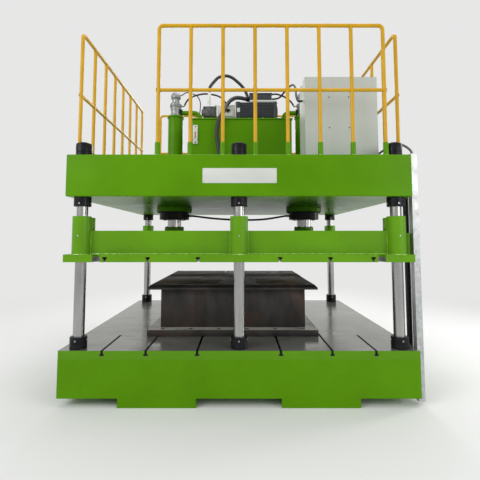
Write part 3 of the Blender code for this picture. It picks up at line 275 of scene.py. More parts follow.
bareZones = {"tableX": 1.5995, "tableY": 1.2995, "slideX": 1.5885, "slideY": 1.2895, "slotDepth": 0.0466,
             "sideways": 0.7}


def insideOf(nodes, links, value, reach):
    return maths(nodes, links, "LESS_THAN", maths(nodes, links, "ABSOLUTE", value), reach)


def tableBare(nodes, links, at, facing):
    # The outer side faces are enamelled, the top and the slots are bare.
    acrossIn = insideOf(nodes, links, facing["X"], bareZones["sideways"])
    alongIn = insideOf(nodes, links, at["Y"], bareZones["tableY"])
    sideIn = insideOf(nodes, links, maths(nodes, links, "SUBTRACT", at["X"], axisX), bareZones["tableX"])
    return maths(nodes, links, "MULTIPLY", alongIn, maths(nodes, links, "MAXIMUM", sideIn, acrossIn))


def slideBare(nodes, links, at, facing):
    # The ground underside and the slots in it are bare, the rest is enamelled.
    low = maths(nodes, links, "LESS_THAN", at["Z"], slideUnder + bareZones["slotDepth"])
    alongIn = insideOf(nodes, links, at["Y"], bareZones["slideY"])
    sideIn = insideOf(nodes, links, maths(nodes, links, "SUBTRACT", at["X"], axisX), bareZones["slideX"])
    return maths(nodes, links, "MULTIPLY", low, maths(nodes, links, "MULTIPLY", alongIn, sideIn))


groundSteel = {"dark": (0.190, 0.196, 0.178), "light": (0.330, 0.336, 0.305), "stroke": (0.26, 0.255, 0.225),
               "rough": (0.13, 0.27), "metal": 0.66, "specular": 0.2}
finishes["tableSteel"] = tableFinish("tableSteel", groundSteel, looks["greenEnamel"]["colour"], tableBare)
# The slide's green is a lighter copy of the frame's green: painted light on the slide.
finishes["slideEnamelPaintedLight"] = tableFinish("slideEnamelPaintedLight", dict(groundSteel, rough=(0.24, 0.36)),
                                      (0.108, 0.285, 0.002), slideBare)
print("finishes made:", len(finishes))

# Shaping tools.


def boxShape(low, high, edge=0.0, steps=2):
    shape = bmesh.new()
    bmesh.ops.create_cube(shape, size=1.0)
    bmesh.ops.scale(shape, vec=[high[i] - low[i] for i in range(3)], verts=shape.verts[:])
    bmesh.ops.translate(shape, vec=[(high[i] + low[i]) / 2 for i in range(3)], verts=shape.verts[:])
    if edge > 0.0:
        bmesh.ops.bevel(shape, geom=shape.edges[:], offset=edge, segments=steps, profile=0.5,
                        affect="EDGES", material=-1)
    return shape


def turnTo(shape, at, way):
    # A shape made along Z is turned to face the way and moved to its place.
    turn = Vector((0, 0, 1)).rotation_difference(Vector(way).normalized()).to_matrix().to_4x4()
    bmesh.ops.transform(shape, matrix=Matrix.Translation(at) @ turn, verts=shape.verts[:])
    return shape


def closeUp(shape):
    bmesh.ops.remove_doubles(shape, verts=shape.verts[:], dist=0.00001)
    bmesh.ops.recalc_face_normals(shape, faces=shape.faces[:])
    return shape


def spinRound(shape, geom, steps, at, way):
    bmesh.ops.spin(shape, geom=geom, cent=(0, 0, 0), axis=(0, 0, 1), dvec=(0, 0, 0),
                   angle=2 * math.pi, steps=steps, use_merge=True, use_duplicate=False)
    return turnTo(closeUp(shape), at, way)


def turnedShape(profile, at=(0, 0, 0), way=(0, 0, 1), steps=64):
    # The profile is radius and height pairs, closed on itself or on the axis.
    shape = bmesh.new()
    ring = [shape.verts.new((radius, 0, height)) for radius, height in profile]
    edges = [shape.edges.new(pair) for pair in zip(ring, ring[1:])]
    if profile[0][0] > 0 or profile[-1][0] > 0:
        edges.append(shape.edges.new((ring[-1], ring[0])))
    return spinRound(shape, ring + edges, steps, at, way)


def rodShape(radius, length, at, way=(0, 0, 1), steps=24, edge=0.0):
    profile = ((0, 0), (radius, 0), (radius, length), (0, length))
    if edge > 0.0:
        profile = ((0, 0), (radius - edge, 0), (radius, edge), (radius, length - edge),
                   (radius - edge, length), (0, length))
    return turnedShape(profile, at, way, steps)


def hexShape(radius, length, at, way=(0, 0, 1)):
    shape = bmesh.new()
    bmesh.ops.create_cone(shape, cap_ends=True, cap_tris=False, segments=6, radius1=radius,
                          radius2=radius, depth=length)
    bmesh.ops.translate(shape, vec=(0, 0, length / 2), verts=shape.verts[:])
    top = [edge for edge in shape.edges if min(v.co.z for v in edge.verts) > length * 0.9]
    bmesh.ops.bevel(shape, geom=top, offset=radius * 0.12, segments=1, profile=0.5, affect="EDGES",
                    material=-1)
    return turnTo(shape, at, way)


def boltShapes(at, way, size):
    # A washer and a hexagon head.
    at = Vector(at)
    way = Vector(way).normalized()
    return [rodShape(size, size * 0.16, at, way, 16),
            hexShape(size * 0.85, size * 0.7, at + way * size * 0.16, way)]


def boltCircle(centre, way, radius, count, size, turn=0.0):
    way = Vector(way).normalized()
    side = way.orthogonal().normalized()
    other = way.cross(side)
    shapes = []
    for i in range(count):
        angle = turn + 2 * math.pi * i / count
        at = Vector(centre) + (side * math.cos(angle) + other * math.sin(angle)) * radius
        shapes += boltShapes(at, way, size)
    return shapes


def ringShape(radius, bead, at, way=(0, 0, 1), steps=64, around=8):
    # A round bead, such as a weld or a seal, made by spinning a small circle.
    shape = bmesh.new()
    made = bmesh.ops.create_circle(shape, cap_ends=False, segments=around, radius=bead)
    bmesh.ops.rotate(shape, cent=(0, 0, 0), matrix=Matrix.Rotation(math.pi / 2, 3, "X"),
                     verts=made["verts"])
    bmesh.ops.translate(shape, vec=(radius, 0, 0), verts=made["verts"])
    return spinRound(shape, shape.verts[:] + shape.edges[:], steps, at, way)


def smoothPath(points, steps=6):
    # A smooth curve through the points, with its first and last stretches straight.
    path = [Vector(points[0])]
    for i in range(1, len(points) - 2):
        before, here, after, beyond = (Vector(points[i + k]) for k in (-1, 0, 1, 2))
        for step in range(steps):
            t = step / steps
            bend = 2 * before - 5 * here + 4 * after - beyond
            twist = 3 * here - before - 3 * after + beyond
            path.append(here + (t * (after - before) + t * t * bend + t ** 3 * twist) / 2)
    path.append(Vector(points[-2]))
    path.append(Vector(points[-1]))
    return path


def tubeShape(path, radius, sides=16):
    curve = bpy.data.curves.new("path", "CURVE")
    curve.dimensions = "3D"
    curve.bevel_depth = radius
    curve.bevel_resolution = max(1, sides // 2 - 2)
    curve.use_fill_caps = True
    line = curve.splines.new("POLY")
    line.points.add(len(path) - 1)
    for knot, point in zip(line.points, path):
        knot.co = (*point, 1.0)
    carrier = bpy.data.objects.new("path", curve)
    bpy.context.scene.collection.objects.link(carrier)
    mesh = bpy.data.meshes.new_from_object(carrier.evaluated_get(bpy.context.evaluated_depsgraph_get()))
    bpy.data.objects.remove(carrier, do_unlink=True)
    bpy.data.curves.remove(curve)
    shape = bmesh.new()
    shape.from_mesh(mesh)
    bpy.data.meshes.remove(mesh)
    return closeUp(shape)


def beadShape(start, end, steps, radius, stray):
    # A weld bead from start to end whose points stray a little, as stray(k) says.
    start, end = Vector(start), Vector(end)
    return tubeShape([start.lerp(end, k / steps) + Vector(stray(k)) for k in range(steps + 1)], radius, 8)


def waysRound(count, turn=0.0):
    # Directions spread evenly round the Z axis.
    angles = [turn + 2 * math.pi * k / count for k in range(count)]
    return [Vector((math.cos(angle), math.sin(angle), 0)) for angle in angles]


def bendPath(corner, wayIn, wayOut, radius, steps=12):
    wayIn, wayOut = Vector(wayIn), Vector(wayOut)
    middle = Vector(corner) - wayIn * radius + wayOut * radius
    return [middle - wayOut * radius * math.cos(a) + wayIn * radius * math.sin(a)
            for a in (math.pi / 2 * i / steps for i in range(steps + 1))]


sharpAngle = math.radians(35.0)


def softenMesh(mesh):
    mesh.shade_smooth()
    mesh.set_sharp_from_angle(angle=sharpAngle)


def makePiece(name, parts, body, stands=()):
    # The parts are (finish, [shapes]) pairs; together they are one piece that rides on a body.
    mesh = bpy.data.meshes.new(name)
    whole = bmesh.new()
    for index, (look, shapes) in enumerate(parts):
        mesh.materials.append(finishes[look])
        for shape in shapes:
            for face in shape.faces:
                face.material_index = index
            passing = bpy.data.meshes.new("passing")
            shape.to_mesh(passing)
            shape.free()
            whole.from_mesh(passing)
            bpy.data.meshes.remove(passing)
    whole.to_mesh(mesh)
    whole.free()
    softenMesh(mesh)
    piece = bpy.data.objects.new(name, mesh)
    bpy.context.scene.collection.objects.link(piece)
    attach(piece, body)
    if stands:
        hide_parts(*stands)
    return piece


def carve(piece, shape):
    # Cuts a closed shape from a piece and keeps the result as its mesh.
    mesh = bpy.data.meshes.new("cutter")
    shape.to_mesh(mesh)
    shape.free()
    cutter = bpy.data.objects.new("cutter", mesh)
    bpy.context.scene.collection.objects.link(cutter)
    change = piece.modifiers.new("carve", "BOOLEAN")
    change.operation = "DIFFERENCE"
    change.solver = "EXACT"
    change.object = cutter
    bpy.context.view_layer.update()
    carved = bpy.data.meshes.new_from_object(piece.evaluated_get(bpy.context.evaluated_depsgraph_get()))
    piece.modifiers.remove(change)
    old = piece.data
    piece.data = carved
    bpy.data.meshes.remove(old)
    bpy.data.objects.remove(cutter, do_unlink=True)
    bpy.data.meshes.remove(mesh)
    softenMesh(piece.data)


def paintNodes(look, *names):
    for name in names:
        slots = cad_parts[name].data.materials
        slots.clear()
        slots.append(finishes[look])


# Bed and table.

bedSizes = {"bead": 0.0024}


def dressBed(sizes):
    paintNodes("greenEnamel", "bed_frame")
    paintNodes("tableSteel", "table_plate")
    low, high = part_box("bed_frame")
    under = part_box("table_plate")[0].z
    bead = sizes["bead"]
    x0, x1, y0, y1 = low.x + bead, high.x - bead, low.y + bead, high.y - bead
    corners = [Vector((x, y, under)) for x, y in ((x0, y0), (x1, y0), (x1, y1), (x0, y1))]
    seams = [tubeShape([corners[i - 1], corners[i]], bead, 8) for i in (1, 2, 3, 0)]
    makePiece("tableSeam", [("weldBeadPaintedHighlight", seams)], frameBody)


dressBed(bedSizes)
print("bed dressed")

# Columns, collars and nuts.

columnSizes = {"shaft": 0.050, "baseCollar": 0.075, "baseHeight": 0.105, "crownCollar": 0.077,
               "crownHeight": 0.088, "chamfer": 0.005, "groove": 0.002}


def collarShape(radius, height, bottom, at, sizes):
    edge = sizes["chamfer"]
    groove = sizes["groove"]
    inner = sizes["shaft"] + 0.0002
    middle = bottom + height / 2
    return turnedShape(((inner, bottom), (radius - edge, bottom), (radius, bottom + edge),
                        (radius, middle - groove), (radius - groove, middle - groove / 2),
                        (radius - groove, middle + groove / 2), (radius, middle + groove),
                        (radius, bottom + height - edge), (radius - edge, bottom + height),
                        (inner, bottom + height)), (at.x, at.y, 0), steps=72)


def makeColumns(sizes):
    for row, side in rowSides:
        at = columnAt[(row, side)]
        node = f"column_{row}_{side}"
        word = row.capitalize() + side.capitalize()
        base = tableTop + seatGap
        shaft = rodShape(sizes["shaft"], crownUnder - tableTop - 2 * seatGap, (at.x, at.y, base), steps=72)
        makePiece("columnShaft" + word, [("chromedSteel", [shaft])], frameBody, [node])
        upper = crownUnder - seatGap - sizes["crownHeight"]
        collars = [collarShape(sizes["baseCollar"], sizes["baseHeight"], base, at, sizes),
                   collarShape(sizes["crownCollar"], sizes["crownHeight"], upper, at, sizes)]
        plugs = []
        for radius, height in ((sizes["baseCollar"], base + sizes["baseHeight"] * 0.72),
                               (sizes["crownCollar"], upper + sizes["crownHeight"] * 0.3)):
            for way in waysRound(4):
                plugs.append(turnedShape(((0, 0.001), (0.0035, 0.001), (0.004, 0.003), (0.0075, 0.003),
                                          (0.0085, 0), (0.0085, -0.004), (0, -0.004)),
                                         Vector((at.x, at.y, height)) + way * (radius - 0.0015), way, 12))
        makePiece("columnCollars" + word, [("blackOxide", collars), ("zincFitting", plugs)],
                  frameBody, [node])


makeColumns(columnSizes)

nutSizes = {"radius": 0.073, "height": 0.120, "chamfer": 0.006, "eyeRadius": 0.012,
            "holeHeight": 0.074}


def makeTopNuts(sizes):
    for row, side in rowSides:
        node = f"top_nut_{row}_{side}"
        low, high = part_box(node)
        at = (low + high) / 2
        radius, edge = sizes["radius"], sizes["chamfer"]
        top = low.z + sizes["height"]
        dome = high.z - 0.006
        nut = turnedShape(((0, low.z), (radius - edge / 2, low.z), (radius, low.z + edge / 2),
                           (radius, low.z + 0.030), (radius - 0.0025, low.z + 0.033),
                           (radius - 0.0025, low.z + 0.037), (radius, low.z + 0.040),
                           (radius, top - edge * 1.6), (radius - edge * 0.5, top - edge * 0.6),
                           (radius - edge * 1.6, top), (0.052, top + 0.001), (0.040, dome - 0.002),
                           (0.020, dome), (0, dome)), (at.x, at.y, 0), steps=72)
        eye = turnedShape(((0, dome - 0.004), (sizes["eyeRadius"], dome - 0.004),
                           (sizes["eyeRadius"], high.z - 0.003), (sizes["eyeRadius"] - 0.003, high.z),
                           (0, high.z)), (at.x, at.y, 0), steps=24)
        holes = [turnedShape(((0, -0.004), (0.006, -0.004), (0.0075, 0.0004), (0.0095, 0.0006),
                              (0.0095, -0.006), (0, -0.006)),
                             Vector((at.x, at.y, low.z + sizes["holeHeight"])) + way * radius, way, 16)
                 for way in waysRound(6, math.pi / 6)]
        makePiece("topNut" + row.capitalize() + side.capitalize(),
                  [("blackOxide", [nut, eye] + holes)], frameBody, [node])


makeTopNuts(nutSizes)
print("columns and nuts made")

# Slide.

slideSizes = {"sleeve": 0.0830, "lip": 0.004, "bush": 0.0622, "bore": 0.0503, "beadBase": 0.0055,
              "strip": 0.0045, "seam": 0.006, "gusset": 0.008, "gussetDeep": 0.085, "boxInset": 0.007,
              "cornerGap": 0.0755, "nipple": 0.0050, "nippleHeight": 0.168}


def dressSlide(sizes):
    paintNodes("slideEnamelPaintedLight", "slide_frame")
    beads, gussets = [], []
    for row, side in rowSides:
        at = columnAt[(row, side)]
        radius, lip = sizes["sleeve"], sizes["lip"]
        word = row.capitalize() + side.capitalize()
        sleeve = turnedShape(((sizes["bush"] + 0.0006, sleeveTop - 0.012),
                              (sizes["bush"] + 0.0006, sleeveTop - lip * 0.2),
                              (sizes["bush"] + 0.004, sleeveTop), (radius - lip, sleeveTop + 0.0002),
                              (radius, sleeveTop - lip), (radius, plateTop - 0.002),
                              (radius - 0.004, plateTop - 0.002), (radius - 0.004, sleeveTop - 0.012)),
                             (at.x, at.y, 0), steps=72)
        makePiece("guideSleeve" + word, [("slideEnamelPaintedLight", [sleeve])], "slide")
        bush = turnedShape(((sizes["bore"], slideUnder + 0.001), (sizes["bush"], slideUnder + 0.001),
                            (sizes["bush"], sleeveTop - 0.001), (sizes["bush"] - 0.002, sleeveTop + 0.0015),
                            (sizes["bore"] + 0.002, sleeveTop + 0.0015), (sizes["bore"], sleeveTop - 0.002)),
                           (at.x, at.y, 0), steps=72)
        makePiece("guideBush" + word, [("machinedBronze", [bush])], "slide",
                  [f"guide_bush_{row}_{side}"])
        beads.append(ringShape(radius + 0.001, sizes["beadBase"], (at.x, at.y, plateTop)))
        outward = -1 if row == "front" else 1
        if side != "middle":
            inward = 1 if side == "left" else -1
            ends = sorted((at.x + inward * (radius - 0.022), at.x + inward * (radius + sizes["gusset"])))
            deeps = sorted((at.y - outward * 0.012, at.y - outward * sizes["gussetDeep"]))
            gussets.append(boxShape((ends[0], deeps[0], boxTop - 0.001),
                                    (ends[1], deeps[1], sleeveTop - 0.010), 0.004))
        # An outer sleeve meets the box on its inner edge alone. These upright welds carry the lighter bead
        # colour, a painted highlight along the sleeve's edge.
        for turn in {"left": (1,), "middle": (-1, 1), "right": (-1,)}[side]:
            edgeX = at.x + turn * radius * 0.9995
            edgeY = at.y - outward * 0.0095
            beads.append(beadShape((edgeX, edgeY, plateTop), (edgeX, edgeY, boxTop), 20, sizes["strip"],
                                   lambda k: (0.0012 * math.sin(k * 1.9), 0, 0)))
        if row == "front":
            nippleAt = Vector((at.x, at.y + outward * (radius - 0.002), plateTop + sizes["nippleHeight"]))
            nipple = turnedShape(((0, 0), (0.0075, 0), (0.0075, 0.003), (sizes["nipple"], 0.0035),
                                  (sizes["nipple"], 0.0055), (0.003, 0.008), (0, 0.0085)),
                                 nippleAt, (0, outward, 0), 16)
            makePiece("greaseNipple" + word, [("zincFitting", [nipple])], "slide")
    halfX = columnAt[("front", "right")].x - axisX - sizes["boxInset"]
    halfY = columnAt[("back", "left")].y - sizes["boxInset"]
    seamX, seamY, seamZ = halfX - sizes["cornerGap"], halfY - sizes["cornerGap"], plateTop + 0.0012
    for y in (-halfY - 0.001, halfY + 0.001):
        for start, end in ((-seamX, -sizes["sleeve"]), (sizes["sleeve"], seamX)):
            beads.append(beadShape((axisX + start, y, seamZ), (axisX + end, y, seamZ), 60, sizes["seam"],
                                   lambda k: (0, 0, 0.0016 * math.sin(k * 2.3) * math.sin(k * 0.7))))
    for x in (axisX - halfX, axisX + halfX):
        beads.append(beadShape((x, -seamY, seamZ), (x, seamY, seamZ), 50, sizes["seam"],
                               lambda k: (0, 0, 0.0012 * math.sin(k * 2.1))))
    makePiece("slideWelds", [("weldBeadPaintedHighlight", beads)], "slide")
    makePiece("sleeveGussets", [("slideEnamelPaintedLight", gussets)], "slide")


dressSlide(slideSizes)
print("slide dressed")

# Crown.

crownSizes = {"plateWidth": 0.679, "plateHeight": 0.138, "plateMiddle": 2.052, "plateThick": 0.0018,
              "plateX": 0.0055}


def dressCrown(sizes):
    paintNodes("greenEnamel", "crown_frame")
    x = axisX + sizes["plateX"]
    z = sizes["plateMiddle"]
    halfW, halfH = sizes["plateWidth"] / 2, sizes["plateHeight"] / 2
    front = crownFront - sizes["plateThick"]
    plate = boxShape((x - halfW, front, z - halfH), (x + halfW, crownFront + 0.001, z + halfH), 0.0007)
    rivets = [turnedShape(((0, 0), (0.004, 0), (0.0035, 0.0008), (0, 0.0012)),
                          (x + sx * (halfW - 0.012), front, z + sz * (halfH - 0.012)), (0, -1, 0), 16)
              for sx in (-1, 1) for sz in (-1, 1)]
    makePiece("barePlate", [("barePlate", [plate]), ("zincFitting", rivets)], frameBody)


dressCrown(crownSizes)

# Main cylinders.

cylinderSizes = {"barrel": 0.180, "flange": 0.220, "flangeThick": 0.052, "over": 0.200, "neck": 0.095,
                 "gland": 0.185, "glandHeight": 0.093, "rod": 0.085, "rodFlange": 0.120,
                 "rodFlangeThick": 0.070, "piston": 0.1495, "pistonThick": 0.120, "inside": 0.139,
                 "topBolts": (0.142, 12, 0.0145), "flangeBolts": (0.202, 16, 0.0125, 0.1),
                 "glandBolts": (0.130, 12, 0.011), "rodBolts": (0.1035, 8, 0.0105)}


def makeCylinders(sizes):
    for side in ("left", "right"):
        x = middleOf(f"cylinder_barrel_{side}").x
        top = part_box(f"cylinder_barrel_{side}")[1].z
        shoulder = crownTop + sizes["over"]
        barrel, neck, inside = sizes["barrel"], sizes["neck"], sizes["inside"]
        upper = turnedShape(((0, deck), (barrel, deck), (barrel, shoulder - 0.006), (barrel - 0.006, shoulder),
                             (neck + 0.008, shoulder), (neck, shoulder + 0.008), (neck, top - 0.026),
                             (neck + 0.010, top - 0.024), (neck + 0.010, top - 0.002),
                             (neck + 0.008, top), (0, top)), (x, 0, 0), steps=96)
        flange, thick = sizes["flange"], sizes["flangeThick"]
        under = crownUnder - thick
        lower = turnedShape(((inside, under), (flange - 0.004, under), (flange, under + 0.004),
                             (flange, crownUnder - seatGap), (inside, crownUnder - seatGap)),
                            (x, 0, 0), steps=96)
        ring = ringShape(barrel, 0.007, (x, 0, deck + 0.001), steps=96)
        bolts = boltCircle((x, 0, shoulder - 0.0002), (0, 0, 1), *sizes["topBolts"])
        below = boltCircle((x, 0, under), (0, 0, -1), *sizes["flangeBolts"])
        word = side.capitalize()
        makePiece("cylinderBarrel" + word, [("greenEnamel", [upper, lower]), ("weldBeadPaintedHighlight", [ring]),
                                            ("blackOxide", bolts + below)],
                  frameBody, [f"cylinder_barrel_{side}"])
        gland, tall = sizes["gland"], sizes["glandHeight"]
        glandTop = under - seatGap
        foot = glandTop - tall
        rod = sizes["rod"]
        body = turnedShape(((rod + 0.0006, foot), (rod + 0.012, foot), (rod + 0.014, foot + 0.003),
                            (gland - 0.030, foot + 0.003), (gland - 0.028, foot), (gland - 0.005, foot),
                            (gland, foot + 0.005), (gland, glandTop - 0.022), (gland - 0.003, glandTop - 0.020),
                            (gland - 0.003, glandTop), (rod + 0.0006, glandTop)), (x, 0, 0), steps=96)
        wiper = ringShape(rod + 0.005, 0.0045, (x, 0, foot), steps=96)
        studs = boltCircle((x, 0, foot), (0, 0, -1), *sizes["glandBolts"])
        makePiece("cylinderGland" + word, [("blackOxide", [body] + studs), ("hoseRubber", [wiper])],
                  frameBody, [f"cylinder_gland_{side}"])
        rodLow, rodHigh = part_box(f"piston_rod_{side}")
        disc = rodLow.z + sizes["rodFlangeThick"]
        big = sizes["rodFlange"]
        piston, under = sizes["piston"], rodHigh.z - sizes["pistonThick"]
        shaft = turnedShape(((0, disc - 0.001), (rod, disc - 0.001), (rod, under - 0.005), (piston, under),
                             (piston, rodHigh.z - 0.002), (0, rodHigh.z)), (x, 0, 0), steps=96)
        clamp = turnedShape(((0, rodLow.z), (big - 0.003, rodLow.z), (big, rodLow.z + 0.003),
                             (big, disc - 0.005), (big - 0.005, disc), (0, disc)), (x, 0, 0), steps=96)
        caps = boltCircle((x, 0, disc - 0.0002), (0, 0, 1), *sizes["rodBolts"])
        makePiece("pistonRod" + word, [("chromedSteel", [shaft]), ("greenEnamel", [clamp]),
                                       ("blackOxide", caps)],
                  "slide", [f"piston_rod_{side}"])


makeCylinders(cylinderSizes)

valveSizes = {"body": 0.068, "bodyHeight": 0.125, "ring": 0.074, "ringHeight": 0.040, "cap": 0.062,
              "waist": 0.047, "dome": 0.065, "plug": 0.014, "seatBolts": (0.0630, 8, 0.0095),
              "footBolts": (0.0665, 8, 0.0062, 0.2), "recesses": (10, 0.2)}


def makeValves(sizes):
    for side in ("left", "right"):
        low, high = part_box(f"prefill_valve_{side}")
        x = (low.x + high.x) / 2
        z = low.z
        body, ring, cap = sizes["body"], sizes["ring"], sizes["cap"]
        shoulder = z + sizes["bodyHeight"]
        seat = shoulder + sizes["ringHeight"]
        crest = high.z - 0.014
        waist, dome = sizes["waist"], sizes["dome"]
        casting = turnedShape(((0, z), (ring, z), (ring, z + 0.018), (body - 0.004, z + 0.022),
                               (body - 0.007, z + 0.030), (body - 0.007, z + 0.080), (body, z + 0.095),
                               (body, shoulder - 0.004), (body - 0.004, shoulder), (0, shoulder)),
                              (x, 0, 0), steps=64)
        upper = turnedShape(((0, shoulder), (ring - 0.002, shoulder), (ring, shoulder + 0.003),
                             (ring, seat - 0.004), (ring - 0.003, seat), (cap, seat),
                             (cap - 0.001, seat + 0.006), (waist, seat + 0.020), (waist, seat + 0.052),
                             (dome - 0.010, seat + 0.070), (dome - 0.001, seat + 0.078),
                             (dome, seat + 0.083), (dome, seat + 0.112), (dome - 0.004, seat + 0.122),
                             (dome - 0.020, crest - 0.006), (dome - 0.036, crest), (0, crest)),
                            (x, 0, 0), steps=64)
        stud = sizes["plug"] - 0.002
        plug = [hexShape(0.015, 0.006, (x, 0, crest - 0.001)),
                turnedShape(((0, crest + 0.004), (stud, crest + 0.004), (stud, high.z - 0.004),
                             (stud - 0.004, high.z), (0, high.z)), (x, 0, 0), steps=32)]
        bolts = boltCircle((x, 0, seat), (0, 0, 1), *sizes["seatBolts"])
        bolts += boltCircle((x, 0, z + 0.018), (0, 0, 1), *sizes["footBolts"])
        belt = Vector((x, 0, shoulder + sizes["ringHeight"] / 2))
        recesses = [rodShape(0.0062, 0.004, belt + way * (ring - 0.0035), way, 16)
                    for way in waysRound(*sizes["recesses"])]
        makePiece("prefillValve" + side.capitalize(),
                  [("valveGrey", [casting, upper]), ("gaugeFrame", plug), ("blackOxide", bolts + recesses)],
                  frameBody, [f"prefill_valve_{side}"])


makeValves(valveSizes)

suctionSizes = {"pipe": 0.0305, "bend": 0.085, "flange": 0.050, "thick": 0.018,
                "bolts": (0.0405, 6, 0.0062)}


def makeSuctionPipes(sizes):
    for side in ("left", "right"):
        low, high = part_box(f"suction_pipe_{side}")
        left = side == "left"
        inward = 1 if left else -1
        faceX = low.x if left else high.x
        dropX = (high.x - sizes["flange"]) if left else (low.x + sizes["flange"])
        portZ = high.z - sizes["flange"]
        path = [Vector((faceX + inward * 0.004, 0, portZ))]
        path += bendPath((dropX, 0, portZ), (inward, 0, 0), (0, 0, -1), sizes["bend"])
        path.append(Vector((dropX, 0, low.z + 0.004)))
        pipe = tubeShape(path, sizes["pipe"], 32)
        flanges, welds, bolts = [], [], []
        for at, way in ((Vector((faceX, 0, portZ)), Vector((inward, 0, 0))),
                        (Vector((dropX, 0, low.z)), Vector((0, 0, 1)))):
            face = at + way * sizes["thick"]
            flanges.append(rodShape(sizes["flange"], sizes["thick"], at, way, 48, 0.0015))
            welds.append(ringShape(sizes["pipe"] + 0.001, 0.004, face, way, 32))
            bolts += boltCircle(face, way, *sizes["bolts"])
        makePiece("suctionPipe" + side.capitalize(),
                  [("greenEnamel", [pipe]), ("blackOxide", flanges + bolts), ("weldBeadPaintedHighlight", welds)],
                  frameBody, [f"suction_pipe_{side}"])


makeSuctionPipes(suctionSizes)
print("cylinders, valves and suction pipes made")

# Tank.

tankSizes = {"boltEvery": 0.16, "boltInset": 0.014, "boltSize": 0.006, "bead": 0.005, "cornerGap": 0.03}


def dressTank(sizes):
    paintNodes("greenEnamel", "oil_tank", "tank_lid")
    low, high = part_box("tank_lid")
    inset = sizes["boltInset"]
    x0, x1, y0, y1 = low.x + inset, high.x - inset, low.y + inset, high.y - inset
    alongX = int((high.x - low.x) / sizes["boltEvery"])
    alongY = int((high.y - low.y) / sizes["boltEvery"])
    spots = [(x0 + (x1 - x0) * i / alongX, y) for y in (y0, y1) for i in range(alongX + 1)]
    spots += [(x, y0 + (y1 - y0) * i / alongY) for x in (x0, x1) for i in range(1, alongY)]
    bolts = [shape for x, y in spots for shape in boltShapes((x, y, high.z), (0, 0, 1), sizes["boltSize"])]
    tankLow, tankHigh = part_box("oil_tank")
    gap, foot, welds = sizes["cornerGap"], deck + 0.001, []
    for y in (tankLow.y + 0.0005, tankHigh.y - 0.0005):
        welds.append(beadShape((tankLow.x + gap, y, foot), (tankHigh.x - gap, y, foot), 40, sizes["bead"],
                               lambda k: (0, 0, 0.0008 * math.sin(2.1 * k))))
    for x in (tankLow.x + 0.0005, tankHigh.x - 0.0005):
        welds.append(beadShape((x, tankLow.y + gap, foot), (x, tankHigh.y - gap, foot), 40, sizes["bead"],
                               lambda k: (0, 0, 0.0008 * math.sin(2.4 * k))))
    makePiece("tankFixings", [("zincFitting", bolts), ("weldBeadPaintedHighlight", welds)], frameBody)


dressTank(tankSizes)

gaugeSizes = {"frameEdge": 0.010, "glassWidth": 0.024, "glassHeight": 0.120, "boltInset": 0.020}


def makeGauge(sizes):
    low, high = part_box("level_gauge")
    x, z = (low.x + high.x) / 2, (low.z + high.z) / 2
    front = low.y
    body = boxShape((low.x, front + 0.004, low.z), (high.x, high.y, high.z), 0.010, 4)
    glassW, glassH = sizes["glassWidth"] / 2, sizes["glassHeight"] / 2
    wide, tall = glassW + sizes["frameEdge"], glassH + sizes["frameEdge"]
    bars = [boxShape((x + x0, front, z + z0), (x + x1, front + 0.010, z + z1), 0.002)
            for x0, x1, z0, z1 in ((-wide, -glassW, -tall, tall), (glassW, wide, -tall, tall),
                                   (-wide, wide, glassH, tall), (-wide, wide, -tall, -glassH))]
    red = rodShape(0.0118, glassH * 1.25, (x, front + 0.0118, z - glassH * 0.72), edge=0.001)
    panel = boxShape((x - glassW, front + 0.009, z - glassH), (x + glassW, front + 0.012, z + glassH), 0.001)
    bolts = [shape for boltZ in (low.z + sizes["boltInset"], high.z - sizes["boltInset"])
             for shape in boltShapes((x, front + 0.004, boltZ), (0, -1, 0), 0.0078)]
    makePiece("levelGauge", [("gaugeFrame", [body] + bars + [panel]), ("gaugeRed", [red]),
                             ("blackOxide", bolts)], frameBody, ["level_gauge"])


makeGauge(gaugeSizes)

breatherSizes = {"neck": 0.026, "cap": 0.038, "ribs": 24}


def makeBreather(sizes):
    at = middleOf("filler_breather")
    z, top = (corner.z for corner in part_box("filler_breather"))
    cap = sizes["cap"]
    body = turnedShape(((0, z), (0.036, z), (0.036, z + 0.006), (sizes["neck"], z + 0.008),
                        (sizes["neck"], z + 0.034), (cap - 0.003, z + 0.036), (cap - 0.002, z + 0.040),
                        (cap - 0.002, top - 0.010), (cap - 0.010, top - 0.001), (0, top)),
                       (at.x, at.y, 0), steps=48)
    belt = Vector((at.x, at.y, z + 0.041))
    ribs = [rodShape(0.0022, top - z - 0.056, belt + way * (cap - 0.0024), steps=8)
            for way in waysRound(sizes["ribs"])]
    makePiece("fillerBreather", [("blackOxide", [body] + ribs)], frameBody,
              ["filler_breather"])


makeBreather(breatherSizes)
print("tank dressed")

# Pump, bell housing, motor.

driveY = middleOf("bell_housing").y
driveZ = middleOf("drive_coupling").z
signPairs = [(s, t) for s in (-1, 1) for t in (-1, 1)]


def onDrive(x, y=0.0, z=0.0):
    # A point named by its place along and beside the drive's axis.
    return Vector((x, driveY + y, driveZ + z))


def driveBox(x0, x1, halfY, halfZ, edge, steps=2):
    return boxShape(onDrive(x0, -halfY, -halfZ), onDrive(x1, halfY, halfZ), edge, steps)


pumpSizes = {"block": 0.062, "blockEnd": 0.016, "blockLength": 0.146, "flange": 0.071, "port": 0.0235,
             "portX": 0.0925, "capX": 0.059, "ribs": 4, "ribEvery": 0.034}


